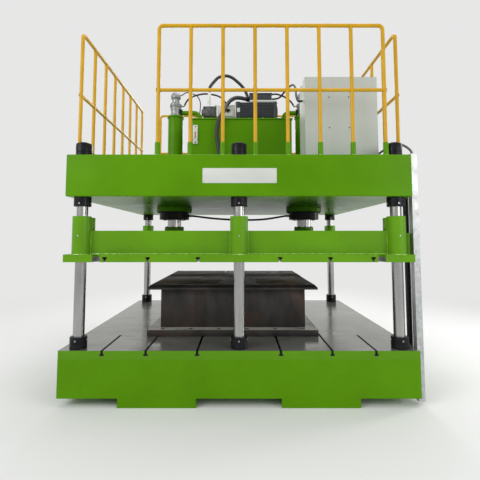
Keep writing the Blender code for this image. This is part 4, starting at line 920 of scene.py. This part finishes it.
def makePump(sizes):
    low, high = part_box("oil_pump")
    x0, x1 = low.x, high.x
    half = sizes["block"]
    blockX1 = x1 - sizes["blockEnd"]
    blockX0 = blockX1 - sizes["blockLength"]
    nose = turnedShape(((0, 0), (0.034, 0), (0.040, 0.004), (0.042, 0.010), (0.048, 0.024), (0, 0.026)),
                       onDrive(x0), (1, 0, 0), 48)
    block = driveBox(blockX0, blockX1, half, half, 0.011, 4)
    neck = turnedShape(((0, -0.002), (0.058, -0.002), (sizes["flange"], 0.002),
                        (sizes["flange"], sizes["blockEnd"]), (0, sizes["blockEnd"])),
                       onDrive(blockX1), (1, 0, 0), 56)
    ribsAt = [blockX0 + 0.010 + sizes["ribEvery"] * k for k in range(sizes["ribs"])]
    ribs = [driveBox(x, x + 0.004, half + 0.0006, half + 0.0006, 0.0015, 1) for x in ribsAt]
    ears = [boxShape(onDrive(x1 - 0.014, s * 0.052 - 0.020, t * 0.050 - 0.018),
                     onDrive(x1 - 0.001, s * 0.052 + 0.020, t * 0.050 + 0.018), 0.006, 3) for s, t in signPairs]
    bolts = []
    capX = blockX0 + sizes["capX"]
    for s, t in signPairs:
        bolts += boltShapes(onDrive(x1 - 0.014, s * 0.0645, t * 0.0635), (-1, 0, 0), 0.0070)
        bolts += boltShapes(onDrive(capX + s * 0.040, -half, t * 0.040), (0, -1, 0), 0.0085)
        bolts += boltShapes(onDrive(blockX0, s * 0.044, t * 0.044), (-1, 0, 0), 0.0080)
    boss = turnedShape(((0, 0), (0.022, 0), (0.022, 0.003), (0.016, 0.005), (0.010, 0.005), (0.009, 0.001),
                        (0, 0.001)), onDrive(capX, -half - 0.0002), (0, -1, 0), 32)
    at = onDrive(x0 + sizes["portX"], 0, half)
    tall = high.z - at.z
    port = sizes["port"]
    stack = [turnedShape(((0, -0.002), (0.031, -0.002), (0.031, 0.014), (0.027, 0.017), (port - 0.006, 0.019),
                          (port - 0.006, 0.070), (0, 0.070)), at, steps=40),
             hexShape(0.0262, 0.028, at + Vector((0, 0, 0.068))),
             turnedShape(((0, 0.094), (port - 0.002, 0.094), (port - 0.002, 0.120), (port, 0.122),
                          (port, tall - 0.030), (port - 0.004, tall - 0.026), (port - 0.004, tall), (0, tall)),
                         at, steps=40)]
    makePiece("oilPump", [("greyCasting", [nose, block, neck] + ribs + ears + [boss]), ("blackOxide", bolts),
                          ("gaugeFrame", stack)], frameBody, ["oil_pump"])


makePump(pumpSizes)

bellSizes = {"window": 0.0258, "rim": 0.0345, "shift": 0.030, "flangeThick": 0.032, "flangeOver": 0.0012,
             "bore": 0.0618, "shadeInner": 0.0565, "shadeOuter": 0.0610, "shadeHalf": 0.094}


def dressBell(sizes):
    paintNodes("castAlloy", "bell_housing")
    low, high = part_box("bell_housing")
    middle = (low.x + high.x) / 2
    windowX = middle + sizes["shift"]
    half = (high.y - low.y) / 2
    window, rim = sizes["window"], sizes["rim"]
    rims = [turnedShape(((window, -0.010), (rim, -0.010), (rim, 0.0), (rim - 0.002, 0.002),
                         (window + 0.002, 0.002), (window, 0.0)), (windowX, low.y, driveZ), (0, -1, 0), 48)]
    thick, wide = sizes["flangeThick"], half + sizes["flangeOver"]
    plates = [driveBox(x, x + thick, wide, wide, 0.008, 3) for x in (low.x + 0.0004, high.x - thick - 0.0004)]
    bolts = []
    for x, way in ((low.x + thick, 1), (high.x - thick, -1)):
        for s, t in signPairs:
            bolts += boltShapes(onDrive(x, s * (half - 0.012), t * (half - 0.012)), (way, 0, 0), 0.0062)
    flanges = makePiece("bellFlanges", [("castAlloy", plates)], frameBody)
    carve(flanges, rodShape(sizes["bore"], high.x - low.x + 0.1, onDrive(low.x - 0.05), (1, 0, 0), 64))
    makePiece("bellFixings", [("castAlloy", rims), ("blackOxide", bolts)], frameBody)
    # A dark sleeve inside the housing is painted shade, so the window shows dark.
    inner, outer, deep = sizes["shadeInner"], sizes["shadeOuter"], sizes["shadeHalf"]
    sleeve = turnedShape(((inner, -deep), (outer, -deep), (outer, deep), (inner, deep)),
                         onDrive(middle), (1, 0, 0), 48)
    paintedShade = makePiece("bellPaintedShade", [("darkPlasticAndPaintedShade", [sleeve])], frameBody)
    carve(paintedShade, rodShape(window + 0.0012, 0.05, onDrive(windowX, -0.075), (0, 1, 0), 32))


dressBell(bellSizes)

couplingSizes = {"hub": 0.0455, "waist": 0.036, "shaft": 0.016, "spider": 0.038}


def makeCoupling(sizes):
    low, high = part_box("drive_coupling")
    middle, half = (low.x + high.x) / 2, (high.x - low.x) / 2
    hub, waist, shaft = sizes["hub"], sizes["waist"], sizes["shaft"]
    profile = ((0, -half), (shaft, -half), (shaft, -0.060), (hub - 0.004, -0.060), (hub, -0.056),
               (hub, -0.006), (waist, -0.005), (waist, 0.005), (hub, 0.006), (hub, 0.056),
               (hub - 0.004, 0.060), (shaft, 0.060), (shaft, half), (0, half))
    metal = turnedShape(profile, onDrive(middle), (1, 0, 0), 48)
    spider = [rodShape(0.006, 0.012, onDrive(middle - 0.006, way.x * sizes["spider"], way.y * sizes["spider"]),
                       (1, 0, 0), 12) for way in waysRound(6)]
    screws = [rodShape(0.005, 0.006, onDrive(middle + s * 0.033, 0, hub - 0.006), steps=12) for s in (-1, 1)]
    makePiece("driveCoupling", [("greyCasting", [metal]), ("gaugeRed", spider), ("blackOxide", screws)],
              "drive_shaft", ["drive_coupling"])


makeCoupling(couplingSizes)

motorSizes = {"plate": 0.016, "endLength": 0.050, "fins": 9, "finShare": 0.42, "finDepth": 0.008,
              "corner": 0.020, "labelWide": 0.036, "labelTall": 0.050, "footFromEnd": 0.120}


def finnedShape(x0, x1, half, sizes):
    # The grooved outline of a cast motor housing, extruded along its shaft.
    flat = half - sizes["corner"]
    pitch = 2 * flat / sizes["fins"]
    groove = pitch * sizes["finShare"]
    side = [(-flat, half)]
    for i in range(sizes["fins"]):
        middle = -flat + pitch * (i + 0.5)
        side += [(middle - groove / 2, half), (middle - groove / 2, half - sizes["finDepth"]),
                 (middle + groove / 2, half - sizes["finDepth"]), (middle + groove / 2, half)]
    side.append((flat, half))
    shape = bmesh.new()
    ring = []
    for cos, sin in ((1, 0), (0, -1), (-1, 0), (0, 1)):
        for a, b in side:
            ring.append(shape.verts.new(onDrive(x0, a * cos - b * sin, a * sin + b * cos)))
    face = shape.faces.new(ring)
    grown = bmesh.ops.extrude_face_region(shape, geom=[face])
    moved = [item for item in grown["geom"] if isinstance(item, bmesh.types.BMVert)]
    bmesh.ops.translate(shape, vec=(x1 - x0, 0, 0), verts=moved)
    bmesh.ops.recalc_face_normals(shape, faces=shape.faces[:])
    return shape


def makeMotor(sizes):
    low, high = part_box("servo_motor")
    half = (high.y - low.y) / 2
    plate, end = sizes["plate"], sizes["endLength"]
    front = low.x + plate
    body = finnedShape(front + end, high.x - end, half, sizes)
    face = driveBox(low.x, front, half, half, 0.004)
    bells = [driveBox(x0, x1, half, half, 0.010, 3)
             for x0, x1 in ((front + 0.0005, front + end), (high.x - end, high.x - 0.012))]
    guard = turnedShape(((0, -0.014), (half - 0.022, -0.014), (half - 0.022, -0.002), (half - 0.030, 0),
                         (0, 0)), onDrive(high.x), (1, 0, 0), 48)
    footX, footZ = high.x - sizes["footFromEnd"], low.z + 0.012
    foot = [boxShape((footX, driveY - 0.080, low.z), (footX + 0.060, driveY + 0.080, footZ), 0.003),
            boxShape((footX + 0.008, driveY - 0.060, footZ - 0.002),
                     onDrive(footX + 0.052, 0.060, 0.012 - half), 0.003)]
    bolts = []
    for s, t in signPairs:
        bolts += boltShapes(onDrive(high.x - 0.012, s * (half - 0.018), t * (half - 0.018)), (1, 0, 0), 0.0075)
    for y in (driveY - 0.070, driveY + 0.070):
        bolts += boltShapes((footX + 0.030, y, footZ), (0, 0, 1), 0.0070)
    seams = [driveBox(x, x + 0.003, half + 0.0006, half - 0.010, 0.0005, 1)
             for x in (front + end, high.x - end - 0.003)]
    wide, tall = sizes["labelWide"] / 2, sizes["labelTall"] / 2
    labelX, labelZ = front + 0.030, -0.002
    label = boxShape(onDrive(labelX - wide, -half - 0.0012, labelZ - tall),
                     onDrive(labelX + wide, -half + 0.010, labelZ + tall), 0.0008)
    makePiece("servoMotor", [("motorBlack", [body, guard] + foot + bells + seams), ("blackOxide", bolts),
                             ("barePlate", [label]), ("castAlloy", [face])],
              frameBody, ["servo_motor"])


makeMotor(motorSizes)

terminalSizes = {"length": 0.265, "lidThick": 0.012, "lip": 0.006, "gland": 0.015, "base": 0.022,
                 "baseLip": 0.012, "cableUp": 0.173}


def makeTerminalBox(sizes):
    low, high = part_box("terminal_box")
    lip = sizes["lip"]
    x0 = low.x + lip
    x1 = x0 + sizes["length"]
    y0, y1 = low.y + sizes["baseLip"], high.y - sizes["baseLip"]
    baseTop = low.z + sizes["base"]
    base = boxShape((x0 + 0.0004, low.y, low.z), (high.x, high.y, baseTop), 0.004, 3)
    body = boxShape((x0, y0, baseTop - 0.001), (x1, y1, high.z - sizes["lidThick"] / 2), 0.006, 3)
    lid = boxShape((x0 - lip, y0 - lip, high.z - sizes["lidThick"]), (x1 + lip, y1 + lip, high.z), 0.004, 3)
    screws = [turnedShape(((0, -0.001), (0.005, -0.001), (0.0045, 0.001), (0, 0.0012)),
                          (x, y, high.z - 0.0011), (0, 0, 1), 16)
              for x in (x0 + 0.010, x1 - 0.010) for y in (y0 + 0.010, y1 - 0.010)]
    cableAt = (x1 - 0.0005, (low.y + high.y) / 2, driveZ + sizes["cableUp"])
    gland = hexShape(sizes["gland"], 0.007, cableAt, (1, 0, 0))
    makePiece("terminalBox",
              [("motorBlack", [body, lid]), ("zincFitting", screws + [gland]), ("castAlloy", [base])],
              frameBody, ["terminal_box"])


makeTerminalBox(terminalSizes)
print("pump and motor made")

# Railings.

railSizes = {"post": 0.0178, "middle": 0.0163, "socket": 0.0245, "socketHeight": 0.120, "bend": 0.045,
             "middleShare": 0.497, "height": 1.253, "weld": 0.0035, "inset": 0.03, "bore": 0.016,
             "bead": 0.0045, "screwUp": 0.085}
railRuns = {"front_railing": ("X", 8), "back_railing": ("X", 10),
            "left_railing": ("Y", 8), "right_railing": ("Y", 8)}


def makeRailing(node, letter, posts, sizes):
    low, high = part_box(node)
    out, post = sizes["socket"], sizes["post"]
    up = Vector((0, 0, 1))
    along = Vector((1, 0, 0)) if letter == "X" else Vector((0, 1, 0))
    side = along.cross(up)
    centre = middleOf(node)
    centre.z = deck
    reach = along * ((high - low).dot(along) / 2 - out)
    start, end = centre - reach, centre + reach
    feet = [start.lerp(end, i / (posts - 1)) for i in range(posts)]
    lift, bar = up * sizes["height"], up * sizes["height"] * sizes["middleShare"]
    hoop = [start + up * sizes["inset"]] + bendPath(start + lift, up, along, sizes["bend"])
    hoop += bendPath(end + lift, along, -up, sizes["bend"]) + [end + up * sizes["inset"]]
    tubes = [tubeShape(hoop, post, 24), tubeShape([start + bar, end + bar], sizes["middle"], 24)]
    tubes += [rodShape(post, sizes["height"] - 0.004, foot) for foot in feet[1:-1]]
    under = lift - up * (post + 0.001)
    welds = [ringShape(post + 0.0005, sizes["weld"], foot + under, up, 20, 6) for foot in feet[1:-1]]
    welds += [ringShape(sizes["middle"] + 0.0003, sizes["weld"], foot + bar + along * s * post, along, 20, 6)
              for foot in feet for s in (-1, 1)]
    word = node.split("_")[0]
    makePiece(word + "RailingTubes", [("yellowEnamel", tubes + welds)], frameBody, [node])
    top, bore = sizes["socketHeight"], sizes["bore"]
    profile = ((bore, 0), (out, 0), (out, top - 0.003), (out - 0.003, top), (post + 0.0002, top),
               (bore, top - 0.002))
    sockets = [turnedShape(profile, foot, up, 28) for foot in feet]
    sockets += [hexShape(0.0065, 0.004, foot + up * sizes["screwUp"] + side * (out - 0.0004), side)
                for foot in feet]
    beads = [ringShape(out, sizes["bead"], foot + up * 0.001, up, 28, 6) for foot in feet]
    makePiece(word + "RailingSockets", [("greenEnamel", sockets), ("weldBeadPaintedHighlight", beads)], frameBody,
              [node])


for railNode, (railLetter, railPosts) in railRuns.items():
    makeRailing(railNode, railLetter, railPosts, railSizes)
print("railings made")

# Cabinet.

cabinetSizes = {"plug": 0.0075, "plugsX": (0.90, 1.096), "plugsZ": (2.888, 2.578), "sealInset": 0.026,
                "sealHalf": 0.004, "sealNear": 0.010, "sealFar": 0.0165}


def dressCabinet(sizes):
    paintNodes("cabinetGrey", "cabinet_shell", "cabinet_door")
    front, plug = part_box("cabinet_shell")[0].y, sizes["plug"]
    plugs = [turnedShape(((0, -0.001), (plug, -0.001), (plug - 0.0005, 0.0012), (0.0035, 0.0018),
                          (0, 0.0018)), (axisX + x, front, z), (0, -1, 0), 20)
             for x in sizes["plugsX"] for z in sizes["plugsZ"]]
    makePiece("cabinetPlugs", [("darkPlasticAndPaintedShade", plugs)], frameBody)
    low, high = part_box("cabinet_door")
    inset, half = sizes["sealInset"], sizes["sealHalf"]
    near, far = low.y + sizes["sealNear"], low.y + sizes["sealFar"]
    x0, x1, z0, z1 = low.x + inset, high.x - inset, low.z + inset, high.z - inset
    seal = [boxShape((ax - half, near, az - half), (bx + half, far, bz + half), 0.001, 1)
            for ax, az, bx, bz in ((x0, z0, x1, z0), (x1, z0, x1, z1), (x0, z1, x1, z1), (x0, z0, x0, z1))]
    makePiece("doorSeal", [("hoseRubber", seal)], "cabinet_door")


dressCabinet(cabinetSizes)

latchSizes = {"rose": 0.022, "length": 0.120, "half": 0.0105, "narrowing": 0.32, "doorThick": 0.020}


def makeLatch(sizes):
    x = middleOf("door_latch").x
    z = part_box("door_latch")[1].z - sizes["rose"]
    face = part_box("cabinet_door")[0].y + sizes["doorThick"]
    half, length = sizes["half"], sizes["length"]
    rose = turnedShape(((0, -0.007), (0.0088, -0.007), (0.0088, seatGap), (sizes["rose"], seatGap),
                        (sizes["rose"], 0.007), (sizes["rose"] - 0.003, 0.010), (0, 0.010)),
                       (x, face, z), (0, 1, 0), 40)
    lever = boxShape((x - half, face + 0.006, z - length), (x + half, face + 0.0168, z + 0.012), 0.004, 3)
    for vert in lever.verts:
        share = max(0.0, (z - vert.co.z) / length)
        vert.co.x = x + (vert.co.x - x) * (1.0 - sizes["narrowing"] * share)
    key = turnedShape(((0, 0), (0.006, 0), (0.005, 0.0008), (0, 0.0008)),
                      (x, face + 0.0166, z), (0, 1, 0), 20)
    makePiece("doorLatch", [("blackOxide", [rose, lever]), ("zincFitting", [key])], "door_latch",
              ["door_latch"])


makeLatch(latchSizes)

gearSizes = {"rows": (0.14, 0.43, 0.70), "heights": (0.16, 0.12, 0.22), "units": (7, 5, 2),
             "depths": (0.070, 0.085, 0.150), "fins": 9, "ducts": (0.05, 0.34, 0.60), "teeth": 40,
             "plateBack": 0.020, "studInset": 0.045}


def makeControlGear(sizes):
    low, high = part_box("control_gear")
    wide, tall = high.x - low.x, high.z - low.z
    plateY, inset = low.y + sizes["plateBack"], sizes["studInset"]
    plate = boxShape((low.x, plateY, low.z), (high.x, plateY + 0.003, high.z), 0.001, 1)
    studs = [rodShape(0.008, 0.020, (x, low.y, z), (0, 1, 0), 16)
             for x in (low.x + inset, high.x - inset) for z in (low.z + inset, high.z - inset)]
    units, dark, rails, ducts = [], [], [], []
    for share, part, count, deep in zip(sizes["rows"], sizes["heights"], sizes["units"], sizes["depths"]):
        base, size = low.z + tall * share, tall * part
        front = plateY + deep - 0.001
        half = wide / count * 0.40
        rails.append(boxShape((low.x + 0.02, plateY + 0.002, base + size * 0.40),
                              (high.x - 0.02, plateY + 0.011, base + size * 0.60), 0.001, 1))
        for i in range(count):
            x = low.x + wide * (i + 0.5) / count
            units.append(boxShape((x - half, plateY + 0.008, base + 0.002),
                                  (x + half, front - 0.012, base + size - 0.002), 0.003))
            units.append(boxShape((x - half, plateY + 0.02, base + size * 0.25),
                                  (x + half, front - 0.002, base + size * 0.75), 0.003))
            if count > 2:  # a breaker has a toggle, a drive has cooling fins
                dark.append(boxShape((x - half * 0.32, front - 0.008, base + size * 0.42),
                                     (x + half * 0.32, front, base + size * 0.60), 0.002))
                continue
            for k in range(sizes["fins"]):
                fin = x - half + 2 * half * (k + 0.5) / sizes["fins"]
                dark.append(boxShape((fin - 0.004, plateY + 0.02, base + size * 0.76),
                                     (fin + 0.004, front - 0.02, base + size - 0.003), 0.001, 1))
    for share in sizes["ducts"]:
        z = low.z + tall * share
        ducts.append(boxShape((low.x + 0.01, plateY + 0.003, z), (high.x - 0.01, plateY + 0.040, z + 0.034),
                              0.002))
        # Dark strips along each duct are painted shade in its slots.
        for k in range(sizes["teeth"]):
            x = low.x + 0.02 + (wide - 0.04) * (k + 0.5) / sizes["teeth"]
            dark.append(boxShape((x - 0.0022, plateY + 0.030, z + 0.004),
                                 (x + 0.0022, plateY + 0.0405, z + 0.030)))
    makePiece("controlGear", [("zincSheet", [plate] + rails + studs), ("switchgear", units + ducts),
                              ("darkPlasticAndPaintedShade", dark)], frameBody, ["control_gear"])


makeControlGear(gearSizes)
print("cabinet dressed")

# Tray, switch rail and block.

paintNodes("zincSheet", "cable_tray")
paintNodes("blackOxide", "switch_rail")

blockSizes = {"edge": 0.004, "topChamfer": 0.026, "bolts": 6, "boltInset": 0.060, "faceInset": 0.006,
              "padThick": 0.0015, "darkPad": (-0.191, 0.554, 0.050, 0.800),
              "pads": ((-0.905, -0.216, -0.720, 0.012), (0.189, 0.672, -0.720, 0.012),
                       (-0.905, -0.195, 0.050, 0.800), (0.558, 0.785, 0.050, 0.800))}


def makeBlock(sizes):
    low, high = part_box("block_lower_plate")
    lower = boxShape(low, high, sizes["edge"])
    pitch = (high.x - low.x) / sizes["bolts"]
    # Dark discs on the face stand for the bolt holes: painted shade.
    holes = [turnedShape(((0, 0.0004), (0.017, 0.0004), (0.019, 0.0008), (0.021, 0)),
                         (low.x + pitch * (i + 0.5), y, high.z), (0, 0, 1), 24)
             for i in range(sizes["bolts"]) for y in (low.y + sizes["boltInset"], high.y - sizes["boltInset"])]
    inset = sizes["faceInset"]
    face = boxShape((low.x + inset, low.y + inset, high.z - 0.001),
                    (high.x - inset, high.y - inset, high.z + 0.0001))
    makePiece("blockLowerPlate", [("scaledSteel", [lower]), ("milledSteel", [face]), ("darkPlasticAndPaintedShade", holes)],
              frameBody, ["block_lower_plate"])
    body = boxShape(*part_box("block_body"), sizes["edge"])
    makePiece("blockBody", [("scaledSteel", [body])], frameBody, ["block_body"])
    topLow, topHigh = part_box("block_upper_plate")
    slab = boxShape(topLow, topHigh)
    rim = [edge for edge in slab.edges if min(v.co.z for v in edge.verts) > topHigh.z - 0.001]
    bmesh.ops.bevel(slab, geom=rim, offset=sizes["topChamfer"], segments=1, profile=0.5, affect="EDGES",
                    material=-1)
    # The pads carry the painted sheen; the dark pad keeps the plate's own scale.
    *pads, darkPad = [boxShape((axisX + x0, y0, topHigh.z - 0.001),
                               (axisX + x1, y1, topHigh.z + sizes["padThick"]), 0.0008)
                      for x0, x1, y0, y1 in (*sizes["pads"], sizes["darkPad"])]
    makePiece("blockUpperPlate", [("scaledSteel", [slab, darkPad]), ("padSteelPaintedSheen", pads)], frameBody,
              ["block_upper_plate"])


makeBlock(blockSizes)
print("tray and block dressed")

# Hoses and cables.

arcRadius, frontRadius, cabinetDepth = 0.019, 0.024, 0.275
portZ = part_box("oil_pump")[1].z + seatGap
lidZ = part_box("tank_lid")[1].z + seatGap
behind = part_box("servo_motor")[1].y + 2 * arcRadius
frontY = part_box("tank_lid")[0].y - 2 * frontRadius
pumpX = middleOf("oil_pump").x - axisX
leftX = middleOf("cylinder_barrel_left").x - axisX
valveX = leftX + valveSizes["ring"] + seatGap
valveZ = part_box("prefill_valve_left")[0].z + valveSizes["bodyHeight"] + valveSizes["ringHeight"] / 2
glandX = -leftX - cylinderSizes["gland"] - seatGap
glandZ = crownUnder - cylinderSizes["flangeThick"] - seatGap - cylinderSizes["glandHeight"] / 2
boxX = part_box("terminal_box")[0].x - axisX + terminalSizes["lip"] - seatGap
cableX = boxX + terminalSizes["length"] + 2 * seatGap
cableZ = driveZ + terminalSizes["cableUp"]
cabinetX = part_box("cabinet_shell")[0].x - axisX
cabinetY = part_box("cabinet_shell")[0].y + cabinetDepth / 2
cabinetSide = 1.380
trayX = middleOf("cable_tray").x - axisX + 0.0075
trayY = middleOf("cable_tray").y
nutY = columnAt[("front", "right")].y

hoseRuns = {
    "arcHose": {"node": "arc_hose", "radius": arcRadius, "crimp": "zincFitting", "points": (
        (pumpX, driveY, portZ), (pumpX, driveY, portZ + 0.04), (-0.346, -0.242, 3.362),
        (-0.304, -0.235, 3.419), (-0.250, -0.225, 3.475), (-0.162, -0.200, 3.506), (-0.095, -0.180, 3.496),
        (-0.040, -0.160, 3.464), (0.039, -0.130, 3.401), (0.090, behind, 3.325), (0.118, behind, 3.220),
        (0.122, behind, 3.080), (0.122, behind, lidZ + 0.05), (0.122, behind, lidZ))},
    "frontHose": {"node": "front_hose", "radius": frontRadius, "crimp": "blackOxide", "points": (
        (boxX, -0.270, 3.180), (boxX - 0.04, -0.270, 3.180), (0.020, -0.280, 3.190), (-0.042, -0.300, 3.182),
        (-0.100, -0.330, 3.140), (-0.149, -0.385, 3.056), (-0.178, frontY + 0.035, 2.955),
        (-0.226, frontY, 2.850), (-0.251, frontY, 2.745), (-0.256, frontY, 2.651), (-0.240, frontY, 2.547),
        (-0.225, frontY, 2.444), (-0.215, frontY, 2.350), (-0.212, frontY, deck + 0.05),
        (-0.212, frontY, deck))},
    "valveHose": {"node": "valve_hose", "radius": 0.011, "crimp": "zincFitting", "points": (
        (valveX, 0.0, valveZ), (valveX + 0.03, 0.0, valveZ), (-0.670, -0.020, 3.260), (-0.594, -0.040, 3.306),
        (-0.455, -0.050, 3.336), (-0.328, -0.050, 3.325), (-0.235, -0.060, 3.285), (-0.165, -0.060, 3.200),
        (-0.135, -0.060, 3.060), (-0.130, -0.060, lidZ + 0.04), (-0.130, -0.060, lidZ))},
    "valveHoseRight": {"radius": 0.011, "crimp": "zincFitting", "points": (
        (-valveX, 0.0, valveZ), (-valveX - 0.03, 0.0, valveZ), (0.675, -0.010, 3.245), (0.625, -0.020, 3.285),
        (0.550, -0.030, 3.322), (0.465, -0.040, 3.338), (0.385, -0.045, 3.310), (0.335, -0.050, 3.230),
        (0.318, -0.050, 3.100), (0.315, -0.050, lidZ + 0.04), (0.315, -0.050, lidZ))},
    "valveCableLeft": {"radius": 0.0065, "points": (
        (leftX + 0.064, 0.0, 3.330), (leftX + 0.095, 0.0, 3.350), (-0.681, 0.0, 3.374), (-0.599, 0.0, 3.357),
        (-0.541, 0.0, 3.322), (-0.5055, 0.0, 3.250), (-0.503, 0.0, 3.167), (-0.514, 0.0, 3.048),
        (-0.518, 0.0, lidZ + 0.03), (-0.518, 0.0, lidZ))},
    "glandHose": {"node": "gland_hose", "radius": 0.012, "crimp": "zincFitting", "points": (
        (-glandX, 0.0, glandZ), (-glandX + 0.05, 0.0, glandZ), (-0.300, -0.040, glandZ - 0.035),
        (0.0, -0.060, glandZ - 0.052), (0.300, -0.040, glandZ - 0.045), (glandX - 0.05, 0.0, glandZ),
        (glandX, 0.0, glandZ))},
    "motorCable": {"node": "motor_cable", "radius": 0.011, "points": (
        (cableX, driveY, cableZ), (cableX + 0.04, driveY, cableZ), (0.500, -0.280, 3.200),
        (0.560, -0.400, 3.240), (0.610, -0.560, 3.230), (0.620, -0.720, 3.120), (0.605, -0.840, 2.990),
        (0.615, cabinetY, 2.900), (cabinetX, cabinetY, 2.900))},
    "cableConduit": {"node": "cable_conduit", "radius": 0.0108, "look": "cableSleeve", "points": (
        (trayX, trayY, crownTop), (trayX, trayY, deck + 0.035), (1.605, nutY + 0.0065, deck + 0.076),
        (1.553, nutY + 0.0395, deck + 0.123), (1.492, nutY + 0.0915, deck + 0.127),
        (1.437, nutY + 0.1795, deck + 0.103), (1.422, nutY + 0.2495, deck + 0.089),
        (cabinetSide + 0.025, cabinetY, deck + 0.086), (cabinetSide, cabinetY, deck + 0.086))},
}


def makeHose(name, run):
    points = [Vector((axisX + x, y, z)) for x, y, z in run["points"]]
    radius, big = run["radius"], run["radius"] * 1.22
    parts = [(run.get("look", "hoseRubber"), [tubeShape(smoothPath(points), radius, 20)])]
    if "crimp" in run:
        crimps = []
        for end, toward in ((points[0], points[1]), (points[-1], points[-2])):
            way = (toward - end).normalized()
            crimps.append(turnedShape(((radius * 0.5, 0.012), (big, 0.012), (big, 0.018), (big * 0.95, 0.020),
                                       (big, 0.024), (big * 0.95, 0.028), (big, 0.032), (big * 0.97, 0.040),
                                       (radius * 0.9, 0.042)), end, way, 28))
            crimps.append(hexShape(big * 1.08, 0.012, end, way))
        parts.append((run["crimp"], crimps))
    makePiece(name, parts, frameBody, [run["node"]] if "node" in run else ())


for hoseName, hoseRun in hoseRuns.items():
    makeHose(hoseName, hoseRun)
print("hoses made")

# Floor, light and camera.

studio = {"floorColour": (0.74, 0.74, 0.73), "skyColour": (0.90, 0.905, 0.91), "skyStrength": 0.74,
          "backColour": (0.80, 0.80, 0.795), "fadeFrom": 3.6, "fadeTo": 7.5}


def makeStudio(settings):
    bpy.ops.mesh.primitive_plane_add(size=80, location=(0, 0, -0.0005))
    floor = bpy.context.active_object
    floor.name = "studioFloor"
    made, nodes, links, place, shader = shaderNodes("studioFloor")
    grain = noise(nodes, links, place, 0.8, 3.0)
    base = settings["floorColour"]
    links.new(mixed(nodes, links, ranged(nodes, links, grain, 0.0, 1.0), tuple(c * 0.985 for c in base), base),
              shader.inputs["Base Color"])
    shader.inputs["Roughness"].default_value = 0.8
    shader.inputs["Specular IOR Level"].default_value = 0.1
    # Far from the press the floor turns into the colour of the wall behind it.
    reach = nodes.new("ShaderNodeVectorMath")
    reach.operation = "LENGTH"
    links.new(place, reach.inputs[0])
    far = ranged(nodes, links, reach.outputs["Value"], 0.0, 1.0, settings["fadeFrom"], settings["fadeTo"])
    wall = nodes.new("ShaderNodeEmission")
    wall.inputs["Color"].default_value = (*settings["backColour"], 1.0)
    blend = nodes.new("ShaderNodeMixShader")
    links.new(maths(nodes, links, "MULTIPLY", far, seenByCamera(nodes, links)), blend.inputs[0])
    links.new(shader.outputs[0], blend.inputs[1])
    links.new(wall.outputs[0], blend.inputs[2])
    links.new(blend.outputs[0], nodes["Material Output"].inputs["Surface"])
    floor.data.materials.append(made)
    world = bpy.data.worlds.new("studioSky")
    bpy.context.scene.world = world
    world.use_nodes = True
    nodes, links = world.node_tree.nodes, world.node_tree.links
    for node in list(nodes):
        nodes.remove(node)
    out = nodes.new("ShaderNodeOutputWorld")
    light = nodes.new("ShaderNodeBackground")
    light.inputs["Color"].default_value = (*settings["skyColour"], 1.0)
    light.inputs["Strength"].default_value = settings["skyStrength"]
    seen = nodes.new("ShaderNodeBackground")
    seen.inputs["Color"].default_value = (*settings["backColour"], 1.0)
    blend = nodes.new("ShaderNodeMixShader")
    links.new(seenByCamera(nodes, links), blend.inputs[0])
    links.new(light.outputs[0], blend.inputs[1])
    links.new(seen.outputs[0], blend.inputs[2])
    links.new(blend.outputs[0], out.inputs["Surface"])


def makeLamp(name, at, aim, size, power):
    lamp = bpy.data.lights.new(name, "AREA")
    lamp.shape = "RECTANGLE"
    lamp.size, lamp.size_y = size
    lamp.energy = power
    holder = bpy.data.objects.new(name, lamp)
    bpy.context.scene.collection.objects.link(holder)
    holder.location = at
    holder.rotation_euler = (Vector(aim) - Vector(at)).to_track_quat("-Z", "Y").to_euler()


makeStudio(studio)
# Each lamp: its place, the point it is aimed at, its width and height, its power.
lamps = {"key": ((-5.8, -5.8, 4.9), (0, 0, 1.2), (4.0, 3.0), 270.0),
         "fill": ((5.5, -5.5, 3.2), (0, 0, 1.4), (4.0, 3.0), 130.0),
         "top": ((0.5, 0.0, 8.0), (0, 0, 1.0), (6.0, 5.0), 190.0),
         "rear": ((0.5, 7.5, 5.5), (0, 0, 1.6), (5.0, 3.0), 280.0),
         "rim": ((6.0, 0.6, 2.8), (0, -1.0, 1.8), (1.0, 3.0), 90.0)}
for lampName, (lampAt, lampAim, lampSize, lampPower) in lamps.items():
    makeLamp(lampName, lampAt, lampAim, lampSize, lampPower)

view = {"distance": 4.5252, "height": 1.4756, "tilt": 0.0706, "lens": 26.747, "shiftX": 0.0020,
        "shiftY": -0.0552}
cameraData = bpy.data.cameras.new("photoCamera")
cameraData.sensor_width = 36.0
cameraData.sensor_fit = "HORIZONTAL"
cameraData.lens = view["lens"]
cameraData.shift_x = view["shiftX"]
cameraData.shift_y = view["shiftY"]
camera = bpy.data.objects.new("photoCamera", cameraData)
bpy.context.scene.collection.objects.link(camera)
camera.location = (axisX, -view["distance"], view["height"])
camera.rotation_euler = (math.pi / 2 + view["tilt"], 0, 0)
bpy.context.scene.camera = camera
bpy.context.scene.view_settings.view_transform = "Standard"
print("studio ready")
